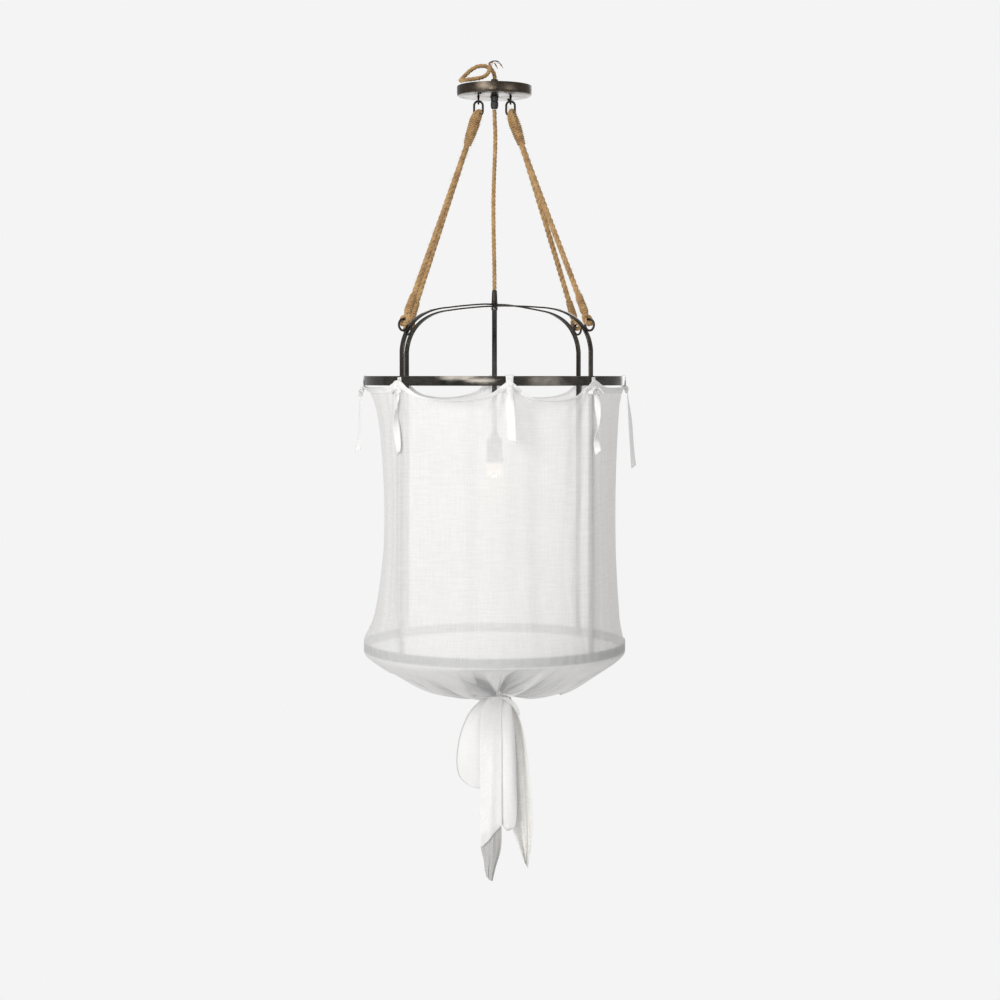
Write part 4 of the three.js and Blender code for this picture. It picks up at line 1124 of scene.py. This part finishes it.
def hung_cloth(name, left, right, y, depth, pleats, seed, curl, tip=0.0, rows=110):
    """Cloth hanging in soft upright folds between two outlines, its edges curled to the front or back."""
    rng = random.Random(seed)
    phases = [rng.uniform(0, 6.28) for _ in range(4)]
    across = 90
    points, uvs = [], []
    for i, (a, b) in enumerate(zip(spots(left, rows), spots(right, rows))):
        v = i / rows
        loose = min(1, 0.25 + v * 2.2)
        for k in range(across + 1):
            u = k / across
            fold = (
                math.cos(pleats * math.pi * u + phases[0] + 0.9 * math.sin(2.2 * v + phases[1]))
                + 0.35 * math.cos(2.3 * pleats * math.pi * u + phases[2] + 2 * v)
            )
            swing = 0.22 * math.sin(3.3 * v + phases[3])
            p = a.lerp(b, u)
            gather = math.sin(math.pi * u) ** 0.4
            dy = depth * loose * (0.5 * fold * gather + swing)
            dy += loose * curl[0] * max(0, 1 - 2.4 * u) ** 1.6
            dy += loose * curl[1] * max(0, 2.4 * u - 1.4) ** 1.6
            p.x += 0.9 * math.sin(pleats * math.pi * u * 1.1 + 3 * v + phases[1]) * gather
            p.z += tip * (u - 0.5) * v * v
            points.append(Vector((p.x * MM, (y + dy) * MM, KNOT_LOW + (p.z - 0.3) * MM)))
            uvs.append((u * 0.11, v * 0.34))
    piece = mesh_object(name, points, grid_faces(rows + 1, across), uvs)
    thickness(piece, 0.5 * MM)
    return piece


def loop_cloth(name, left, right, y, depth, creases, seed):
    """A bow loop: cloth turned back on itself, full in the middle and pinched at the knot."""
    rng = random.Random(seed)
    phases = [rng.uniform(0, 6.28) for _ in range(4)]
    around, rows = 96, 120
    points, uvs, edge = [], [], []
    for i, (a, b) in enumerate(zip(spots(left, rows), spots(right, rows))):
        v = i / rows
        full = math.sin(math.pi * min(1, 0.12 + 0.88 * v)) ** 0.6 if v < 0.97 else 0.35
        for k, turn in enumerate(turns(around)):
            u = 0.5 - 0.5 * math.cos(turn)
            p = a.lerp(b, u)
            crease = math.cos(creases * turn + phases[0] + 1.3 * math.sin(3 * v + phases[1]))
            crease += 0.5 * math.cos((2 * creases - 1) * turn + phases[2] - 2 * v)
            pull = (1 - v) ** 1.5 + 0.25
            face = 1 if math.sin(turn) > 0 else -1
            dy = depth * full * math.sin(turn) * (1 + 0.14 * crease * pull)
            dy += depth * 0.28 * crease * pull * abs(math.sin(turn)) ** 0.5 * face
            p.x += 0.8 * crease * pull * abs(math.cos(turn))
            points.append(Vector((p.x * MM, (y + dy) * MM, KNOT_LOW + (p.z - 0.3) * MM)))
            uvs.append((k / around * 0.12, v * 0.2))
            # Painted shade: a dark line along the loop's fold and along its bottom edge.
            edge.append(0.45 * math.exp(-((u / 0.035) ** 2)) + 0.3 * math.exp(-(((1 - v) / 0.03) ** 2)))
    piece = mesh_object(name, points, ring_faces(rows + 1, around), uvs)
    shadow(piece, edge)
    thickness(piece, 0.5 * MM)
    return piece


FRONT_LEFT = [(-10, 20), (-19, 8), (-25, -14), (-27, -60), (-27, -130), (-27, -200), (-26, -262)]
FRONT_RIGHT = [(14, 21), (13, 8), (12, -14), (13, -60), (13, -110), (13, -170), (13, -219)]
TURNED_LEFT = [(-24, -236), (-25, -262), (-20, -286), (-18, -304), (-15, -318)]
TURNED_RIGHT = [(12, -212), (13, -240), (11, -268), (2, -298), (-4, -323)]
BACK_LEFT = [(14, 14), (20, 0), (24, -50), (26, -130), (30, -215), (44, -262), (57, -300)]
BACK_RIGHT = [(30, 14), (36, 0), (50, -36), (60, -84), (67, -150), (71, -205), (71, -236), (62, -302)]
BOW_LEFT = [
    (2, 20), (-16, 15), (-34, 2), (-50, -19), (-64, -56), (-70, -100), (-65, -130), (-46, -148), (-31, -153),
]
BOW_RIGHT = [(8, 19), (4, 4), (-2, -30), (-8, -66), (-12, -100), (-17, -140), (-24, -150), (-29, -153)]
SECOND_LEFT = [(8, 18), (7, 0), (9, -50), (10, -110), (11, -180), (13, -214), (21, -229)]
SECOND_RIGHT = [(27, 18), (31, 0), (37, -40), (40, -90), (41, -150), (41, -195), (37, -222), (27, -230)]

front_tail = hung_cloth("front_tail_cloth", FRONT_LEFT, FRONT_RIGHT, -19, 3, 1.6, 3, (5, 0))
turned_end = hung_cloth("front_tail_turned_end", TURNED_LEFT, TURNED_RIGHT, -15, 4, 3.4, 9, (5, 6), -4, 60)
back_tail = hung_cloth("back_tail_cloth", BACK_LEFT, BACK_RIGHT, 15, 7, 4.2, 11, (-7, -11), -5)
bow = loop_cloth("bow_loop_cloth", BOW_LEFT, BOW_RIGHT, -4, 5.2, 2, 5)
second = loop_cloth("bow_loop_second_cloth", SECOND_LEFT, SECOND_RIGHT, -12, 6.5, 2, 8)
put(front_tail, "tail", "lantern", "front_tail")
put(turned_end, "tail_turned_shaded", "lantern")
put(back_tail, "tail_back", "lantern", "back_tail")
put(bow, "loop", "lantern", "bow_loop")
put(second, "loop", "lantern", "bow_loop_second")


def wrapped_knot():
    """The gathered cloth above the knot, wound once round itself."""
    points, uvs = [], []
    rows, sides = 44, 150
    for i in range(rows + 1):
        v = i / rows
        z = KNOT_TOP - (KNOT_TOP - KNOT_LOW) * v
        swell = 12 + 5.2 * math.sin(math.pi * min(1, v * 1.02)) ** 0.8
        for turn in turns(sides):
            pleat = 0.55 * math.cos(17 * turn + 5 * v) + 0.5 * math.cos(11 * turn - 7 * v + 1)
            band = math.exp(-(((v - 0.52 - 0.14 * math.sin(turn + 0.8)) / 0.2) ** 2))
            crease = 0.55 * math.cos(44 * (v - 0.14 * math.sin(turn + 0.8)) + math.sin(2 * turn))
            r = swell + pleat * (1 - band) + band * (1.9 + crease)
            points.append(Vector((KNOT_X + r * MM * math.cos(turn), r * MM * math.sin(turn), z)))
            uvs.append((turn * 0.017, v * 0.022))
    faces = ring_faces(rows + 1, sides, flip=True)
    faces.append(tuple(range(sides)))
    faces.append(tuple(reversed(range(rows * sides, (rows + 1) * sides))))
    return put(mesh_object("cloth_knot_wrapped", points, faces, uvs), "tail", "lantern", "cloth_knot")


knot_piece = wrapped_knot()
EAR = [(14, -22, 17, 2), (22, -27, 16, 4.5), (33, -27, 8, 5.5), (40, -24, -3, 4.5), (46, -19, -15, 1.5)]
ear_rows = [
    (Vector((x * MM, y * MM, KNOT_LOW + z * MM)), Vector((0.25, -0.6, 0.75)), half * MM, 0.8 * MM)
    for x, y, z, half in EAR
]
strip("knot_ear", ear_rows, "tail", step=1.5 * MM)


# ---------- Materials ----------
class Paint:
    """A node material under construction."""

    def __init__(self, name):
        self.material = bpy.data.materials.new(name)
        self.material.use_nodes = True
        self.tree = self.material.node_tree
        self.tree.nodes.clear()
        self.out = self.node("ShaderNodeOutputMaterial")
        coordinates = self.node("ShaderNodeTexCoord")
        self.uv = coordinates.outputs["UV"]
        self.place = coordinates.outputs["Object"]

    def node(self, kind, **settings):
        made = self.tree.nodes.new(kind)
        for key, value in settings.items():
            setattr(made, key, value)
        return made

    def link(self, source, target):
        self.tree.links.new(source, target)
        return target

    def stretched(self, source, scale):
        mapping = self.node("ShaderNodeMapping")
        self.link(source, mapping.inputs["Vector"])
        mapping.inputs["Scale"].default_value = scale
        return mapping.outputs["Vector"]

    def noise(self, source, scale, detail=3.0, stretch=None, rough=0.55):
        made = self.node("ShaderNodeTexNoise")
        self.link(self.stretched(source, stretch) if stretch else source, made.inputs["Vector"])
        made.inputs["Scale"].default_value = scale
        made.inputs["Detail"].default_value = detail
        made.inputs["Roughness"].default_value = rough
        return made.outputs["Fac"]

    def ramp(self, source, stops):
        made = self.node("ShaderNodeValToRGB")
        self.link(source, made.inputs["Fac"])
        elements = made.color_ramp.elements
        while len(elements) < len(stops):
            elements.new(0.5)
        for element, (place, colour) in zip(elements, stops):
            element.position = place
            element.color = (*colour, 1)
        return made.outputs["Color"]

    def span(self, source, low_in, high_in, low_out, high_out):
        made = self.node("ShaderNodeMapRange")
        self.link(source, made.inputs["Value"])
        made.inputs["From Min"].default_value = low_in
        made.inputs["From Max"].default_value = high_in
        made.inputs["To Min"].default_value = low_out
        made.inputs["To Max"].default_value = high_out
        return made.outputs["Result"]

    def math(self, operation, a, b=None):
        made = self.node("ShaderNodeMath", operation=operation)
        for socket, value in zip(made.inputs, (a, b)):
            if value is None:
                continue
            if isinstance(value, (int, float)):
                socket.default_value = value
            else:
                self.link(value, socket)
        return made.outputs["Value"]

    def weighed(self, a, share_a, b, share_b):
        """The sum of two values, each times its share."""
        return self.math("ADD", self.math("MULTIPLY", a, share_a), self.math("MULTIPLY", b, share_b))

    def mixed(self, fac, a, b):
        made = self.node("ShaderNodeMixRGB", blend_type="MIX")
        for socket, value in zip(made.inputs, (fac, a, b)):
            if isinstance(value, (int, float)):
                socket.default_value = value
            elif isinstance(value, tuple):
                socket.default_value = (*value, 1)
            else:
                self.link(value, socket)
        return made.outputs["Color"]

    def bump(self, height, strength, distance):
        made = self.node("ShaderNodeBump")
        self.link(height, made.inputs["Height"])
        made.inputs["Strength"].default_value = strength
        made.inputs["Distance"].default_value = distance
        return made.outputs["Normal"]

    def principled(self, base, roughness, metallic=0.0, normal=None, **sockets):
        made = self.node("ShaderNodeBsdfPrincipled")
        self.link(base, made.inputs["Base Color"])
        if isinstance(roughness, float):
            made.inputs["Roughness"].default_value = roughness
        else:
            self.link(roughness, made.inputs["Roughness"])
        made.inputs["Metallic"].default_value = metallic
        if normal is not None:
            self.link(normal, made.inputs["Normal"])
        for key, value in sockets.items():
            socket = made.inputs[key.replace("_", " ")]
            socket.default_value = (*value, 1) if isinstance(value, tuple) else value
        return made.outputs["BSDF"]

    def finish(self, shader):
        self.link(shader, self.out.inputs["Surface"])
        return self.material


def metal_paint(name, dark, light, rough, metallic=0.9, wear=0.5, warm=None, grain=0.35):
    paint = Paint(name)
    cloud = paint.noise(paint.place, 38, 5)
    brushed = paint.noise(paint.place, 60, 4, (1, 1, 14))
    fine = paint.noise(paint.place, 900, 2)
    both = paint.weighed(cloud, 0.6, brushed, 0.4)
    colour = paint.ramp(both, [(0.36, dark), (0.64, light)])
    if warm:
        spots = paint.noise(paint.place, 95, 6, rough=0.7)
        colour = paint.mixed(paint.span(spots, 0.52, 0.7, 0, wear), colour, warm)
    shine = paint.span(both, 0.3, 0.7, rough - 0.07, rough + 0.1)
    height = paint.math("ADD", paint.math("MULTIPLY", fine, 0.5), cloud)
    return paint.finish(paint.principled(colour, shine, metallic, paint.bump(height, grain, 0.0004)))


def jute_paint(name, dark, light, bright):
    paint = Paint(name)
    fibres = paint.noise(paint.uv, 9, 5, (30, 260, 1), 0.7)
    blotch = paint.noise(paint.place, 70, 4)
    both = paint.weighed(fibres, 0.75, blotch, 0.25)
    colour = paint.ramp(both, [(0.38, dark), (0.5, light), (0.62, bright)])
    normal = paint.bump(fibres, 1.0, 0.0012)
    return paint.finish(paint.principled(
        colour, 0.86, 0.0, normal, Sheen_Weight=0.35, Sheen_Roughness=0.5, Sheen_Tint=(0.9, 0.75, 0.5),
    ))


def fibre_paint():
    paint = Paint("loose_fibre")
    tone = paint.noise(paint.place, 400, 2)
    colour = paint.ramp(tone, [(0.4, (0.42, 0.27, 0.12)), (0.6, (0.72, 0.52, 0.29))])
    return paint.finish(paint.principled(colour, 0.8))


def nylon_paint(name, dark, light, rough):
    paint = Paint(name)
    grain = paint.noise(paint.place, 700, 3)
    cloud = paint.noise(paint.place, 45, 3)
    colour = paint.ramp(cloud, [(0.35, dark), (0.65, light)])
    shine = paint.span(cloud, 0.3, 0.7, rough - 0.05, rough + 0.08)
    return paint.finish(paint.principled(colour, shine, 0.0, paint.bump(grain, 0.25, 0.0003)))


def weave(paint, count):
    """Threads that cross at right angles, from the cloth's own uv in metres."""
    wobble = paint.noise(paint.uv, 22, 3)
    shifted = paint.node("ShaderNodeVectorMath", operation="ADD")
    paint.link(paint.uv, shifted.inputs[0])
    nudge = paint.node("ShaderNodeCombineXYZ")
    paint.link(paint.math("MULTIPLY", wobble, 0.0022), nudge.inputs["X"])
    paint.link(paint.math("MULTIPLY", wobble, 0.0026), nudge.inputs["Y"])
    paint.link(nudge.outputs["Vector"], shifted.inputs[1])
    split = paint.node("ShaderNodeSeparateXYZ")
    paint.link(shifted.outputs["Vector"], split.inputs["Vector"])
    warp = paint.math("ABSOLUTE", paint.math("SINE", paint.math("MULTIPLY", split.outputs["X"], count)))
    closer = paint.math("MULTIPLY", split.outputs["Y"], count * 1.07)
    weft = paint.math("ABSOLUTE", paint.math("SINE", closer))
    slub = paint.noise(paint.uv, 14, 3, (26, 2, 1))
    slub_across = paint.noise(paint.uv, 14, 3, (2, 26, 1))
    thick_warp = paint.math("MULTIPLY", warp, paint.span(slub, 0.3, 0.7, 0.7, 1.15))
    thick_weft = paint.math("MULTIPLY", weft, paint.span(slub_across, 0.3, 0.7, 0.7, 1.15))
    threads = paint.math("MAXIMUM", thick_warp, thick_weft)
    return threads, paint.weighed(slub, 0.5, slub_across, 0.5)


def cloth_paint(name, white, shade, cover_low, cover_high, count, through=0.35, painted_shade_colour=None):
    """Cotton cloth: light passes through the threads, and between them in an open weave."""
    paint = Paint(name)
    threads, slubs = weave(paint, count)
    cloud = paint.noise(paint.place, 14, 4)
    speck = paint.noise(paint.uv, 260, 3, (1, 1.6, 1), 0.6)
    tone = paint.weighed(slubs, 0.6, speck, 0.2)
    tone = paint.math("ADD", tone, paint.math("MULTIPLY", cloud, 0.2))
    colour = paint.ramp(tone, [(0.38, shade), (0.58, white)])
    # Painted shade: where the hollow attribute is high, the colour is mixed toward a dark shade colour, in
    # the bowl's folds and along the loops' outlines.
    if painted_shade_colour:
        hollow = paint.node("ShaderNodeAttribute", attribute_name="hollow").outputs["Fac"]
        colour = paint.mixed(paint.span(hollow, 0.05, 0.5, 0, 0.9), colour, painted_shade_colour)
    normal = paint.bump(threads, 0.3, 0.0003)
    solid = paint.principled(
        colour, 0.92, 0.0, normal, Sheen_Weight=0.25, Sheen_Roughness=0.6, Specular_IOR_Level=0.2,
    )
    glow = paint.node("ShaderNodeBsdfTranslucent")
    paint.link(colour, glow.inputs["Color"])
    paint.link(normal, glow.inputs["Normal"])
    cloth = paint.node("ShaderNodeMixShader")
    cloth.inputs[0].default_value = through
    paint.link(solid, cloth.inputs[1])
    paint.link(glow.outputs["BSDF"], cloth.inputs[2])
    if cover_low >= 0.999:
        return paint.finish(cloth.outputs["Shader"])
    clear = paint.node("ShaderNodeBsdfTransparent")
    cover_share = paint.weighed(threads, 0.3, tone, 0.7)
    share = paint.span(cover_share, 0.35, 0.75, cover_low, cover_high)
    mixed = paint.node("ShaderNodeMixShader")
    paint.link(share, mixed.inputs[0])
    paint.link(clear.outputs["BSDF"], mixed.inputs[1])
    paint.link(cloth.outputs["Shader"], mixed.inputs[2])
    return paint.finish(mixed.outputs["Shader"])


def glass_paint():
    paint = Paint("clear_lamp_glass")
    streaks = paint.noise(paint.place, 26, 3)
    colour = paint.ramp(streaks, [(0.3, (0.96, 0.93, 0.86)), (0.7, (1, 0.98, 0.94))])
    rough = paint.span(streaks, 0.3, 0.7, 0.02, 0.06)
    shiny = paint.principled(colour, rough, 0.0, None, Alpha=0.07, Specular_IOR_Level=0.5)
    return paint.finish(shiny)


def filament_paint():
    paint = Paint("glowing_filament")
    grain = paint.noise(paint.place, 500, 2)
    colour = paint.ramp(grain, [(0.3, (1, 0.62, 0.25)), (0.7, (1, 0.78, 0.42))])
    shader = paint.principled(colour, 0.6)
    node = paint.tree.nodes["Principled BSDF"]
    paint.link(colour, node.inputs["Emission Color"])
    node.inputs["Emission Strength"].default_value = 26
    return paint.finish(shader)


BLACK = (0.012, 0.012, 0.012)
IVORY = ((0.72, 0.71, 0.68), (0.82, 0.81, 0.78))
SHADED = (0.90, 0.895, 0.885)
JUTE = jute_paint("jute_rope", (0.12, 0.055, 0.02), (0.46, 0.265, 0.105), (0.80, 0.53, 0.245))
NYLON = nylon_paint("black_nylon", BLACK, (0.028, 0.027, 0.026), 0.42)
DARK = metal_paint("dark_steel", (0.018, 0.016, 0.014), (0.06, 0.052, 0.045), 0.42, 0.85)
COPPER = metal_paint("bare_copper", (0.45, 0.20, 0.09), (0.72, 0.36, 0.18), 0.3, 1.0)
STEEL = metal_paint(
    "blackened_steel", (0.045, 0.042, 0.038), (0.13, 0.12, 0.105), 0.17, 1.0, 0.16, (0.22, 0.18, 0.13), 0.15,
)
BRONZE = metal_paint(
    "canopy_bronze", (0.045, 0.038, 0.03), (0.12, 0.098, 0.075), 0.3, 1.0, 0.22, (0.26, 0.19, 0.12),
)
POLISHED = metal_paint(
    "polished_black_post", (0.06, 0.058, 0.056), (0.10, 0.097, 0.092), 0.1, 1.0, grain=0.04,
)
SLEEVE = nylon_paint("heat_shrink", (0.010, 0.010, 0.010), (0.022, 0.021, 0.020), 0.5)
NICKEL = metal_paint("lamp_cap_nickel", (0.42, 0.38, 0.30), (0.70, 0.64, 0.52), 0.28, 1.0)
CERAMIC = nylon_paint("glazed_ceramic", (0.78, 0.76, 0.71), (0.88, 0.86, 0.81), 0.25)
# The gauze's dark colour for the bowl's folds and creases is painted shade.
GAUZE = cloth_paint(
    "sheer_gauze", (0.91, 0.908, 0.905), (0.865, 0.862, 0.858), 0.76, 0.88, 2600, painted_shade_colour=(0.50, 0.50, 0.51),
)
HEM = cloth_paint("gauze_hem", (0.98, 0.98, 0.975), (0.95, 0.95, 0.945), 1, 1, 2600)
RIBBON = cloth_paint("cotton_ribbon", (0.975, 0.97, 0.965), SHADED, 1, 1, 2200)
TAIL = cloth_paint("gathered_gauze", (0.965, 0.962, 0.955), SHADED, 0.88, 0.98, 2400, 0.4)
# Doubled gauze: its whiter tone is partly the denser doubled cloth and partly painted light; its outline
# lines are painted shade.
LOOP = cloth_paint(
    "doubled_gauze", (0.985, 0.982, 0.978), (0.93, 0.926, 0.92), 1, 1, 2400, 0.35, painted_shade_colour=(0.5, 0.5, 0.5),
)
# Painted shade: the back tail and the turned end are the tail's gauze painted darker, for cloth that hangs in
# the shadow of the front tail and the bow.
TAIL_BACK = cloth_paint("shaded_gauze", (0.94, 0.935, 0.91), (0.83, 0.82, 0.795), 0.86, 0.97, 2400, 0.3)
TAIL_END_SHADE = cloth_paint("turned_gauze_painted_shade", (0.66, 0.655, 0.64), (0.50, 0.495, 0.48), 0.9, 0.98, 2400, 0.25)
FINISHES = {
    "jute": (JUTE, "jute"),
    "fibre": (fibre_paint(), "jute"),
    "copper": (COPPER, "brass"),
    "live_wire": (nylon_paint("black_insulation", BLACK, (0.03, 0.03, 0.03), 0.35), "black_plastic"),
    "neutral_wire": (nylon_paint("white_insulation", *IVORY, 0.35), "white_plastic"),
    "earth_wire": (COPPER, "brass"),
    "dark_steel": (DARK, "dark_steel"),
    "frame_steel": (STEEL, "frame_steel"),
    "canopy": (BRONZE, "canopy_bronze"),
    "post_black": (POLISHED, "frame_steel"),
    "black_nylon": (NYLON, "black_plastic"),
    "sleeve_rubber": (SLEEVE, "black_plastic"),
    "nickel": (NICKEL, "brass"),
    "lamp_glass": (glass_paint(), "lamp_glass"),
    "filament": (filament_paint(), "lamp_glass"),
    "ceramic": (CERAMIC, "ceramic"),
    "flex": (nylon_paint("white_flex", *IVORY, 0.4), "white_plastic"),
    "gauze": (GAUZE, "cotton_gauze"),
    "hem": (HEM, "cotton_gauze"),
    "ribbon": (RIBBON, "cotton_gauze"),
    "tail": (TAIL, "cotton_gauze"),
    "loop": (LOOP, "cotton_gauze"),
    "tail_back": (TAIL_BACK, "cotton_gauze"),
    "tail_turned_shaded": (TAIL_END_SHADE, "cotton_gauze"),
}
CAD_FINISHES = {
    "canopy_dish": "canopy", "mounting_crossbar": "dark_steel", "canopy_screw_1": "dark_steel",
    "canopy_screw_2": "dark_steel", "eyebolt_nut_left": "dark_steel", "eyebolt_nut_right": "dark_steel",
    "top_ring": "frame_steel", "bottom_ring": "frame_steel", "inner_flex": "flex", "contact_block": "ceramic",
}


def dress(piece, finish):
    material, slot = FINISHES[finish]
    piece.data.materials.clear()
    piece.data.materials.append(material)


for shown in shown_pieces():
    dress(shown, CAD_FINISHES[shown.name] if shown.name in CAD_FINISHES else shown["finish"])


# ---------- Room and light ----------
def area_light(name, place, target, size, watts, height=None):
    data = bpy.data.lights.new(name, "AREA")
    data.shape = "RECTANGLE"
    data.size = size
    data.size_y = height or size
    data.energy = watts
    lamp = bpy.data.objects.new(name, data)
    lamp.location = place
    lamp.rotation_euler = (Vector(target) - Vector(place)).to_track_quat("-Z", "Y").to_euler()
    scene.collection.objects.link(lamp)


def pale_world():
    world = bpy.data.worlds.new("room")
    world.use_nodes = True
    tree = world.node_tree
    tree.nodes.clear()
    out = tree.nodes.new("ShaderNodeOutputWorld")
    path = tree.nodes.new("ShaderNodeLightPath")
    seen = tree.nodes.new("ShaderNodeBackground")
    seen.inputs["Color"].default_value = (0.905, 0.905, 0.905, 1)
    lit = tree.nodes.new("ShaderNodeBackground")
    lit.inputs["Color"].default_value = (1, 1, 1, 1)
    lit.inputs["Strength"].default_value = 0.46
    mix = tree.nodes.new("ShaderNodeMixShader")
    tree.links.new(path.outputs["Is Camera Ray"], mix.inputs[0])
    tree.links.new(lit.outputs["Background"], mix.inputs[1])
    tree.links.new(seen.outputs["Background"], mix.inputs[2])
    tree.links.new(mix.outputs["Shader"], out.inputs["Surface"])
    scene.world = world


FLOOR_R = 2.4
FLOOR_Z = -4.3


def floor():
    points = [(FLOOR_R * math.cos(t), FLOOR_R * math.sin(t), FLOOR_Z) for t in turns(64)]
    disc = mesh_object("studio_floor", points, [tuple(range(64))], smooth=False)
    paint = Paint("pale_floor")
    tone = paint.noise(paint.place, 1.5, 2)
    colour = paint.ramp(tone, [(0.3, (0.78, 0.78, 0.78)), (0.7, (0.82, 0.82, 0.82))])
    disc.data.materials.append(paint.finish(paint.principled(colour, 0.8)))


def lamp_glow():
    data = bpy.data.lights.new("lamp_glow", "POINT")
    data.energy = 0.12
    data.color = (1, 0.72, 0.42)
    data.shadow_soft_size = 0.02
    lamp = bpy.data.objects.new("lamp_glow", data)
    lamp.location = (0, 0, BALL + 24 * MM)
    scene.collection.objects.link(lamp)


pale_world()
floor()
area_light("key", (-1.9, -2.9, 0.5), (0, 0, -0.75), 1.7, 68)
area_light("strip", (-0.85, -3.7, -0.5), (0, 0, -0.6), 1.5, 22, 0.5)
area_light("under", (-1.7, -1.9, -2.1), (0, 0, -1.05), 0.8, 15)
area_light("fill", (2.4, -2.6, -0.6), (0, 0, -0.8), 1.6, 17)
area_light("top", (0.2, 0.4, 2.2), (0, 0, -0.7), 1.4, 18)
area_light("back", (0.6, 2.6, -0.3), (0, 0, -0.8), 2.2, 24)
lamp_glow()
scene.view_settings.view_transform = "Standard"
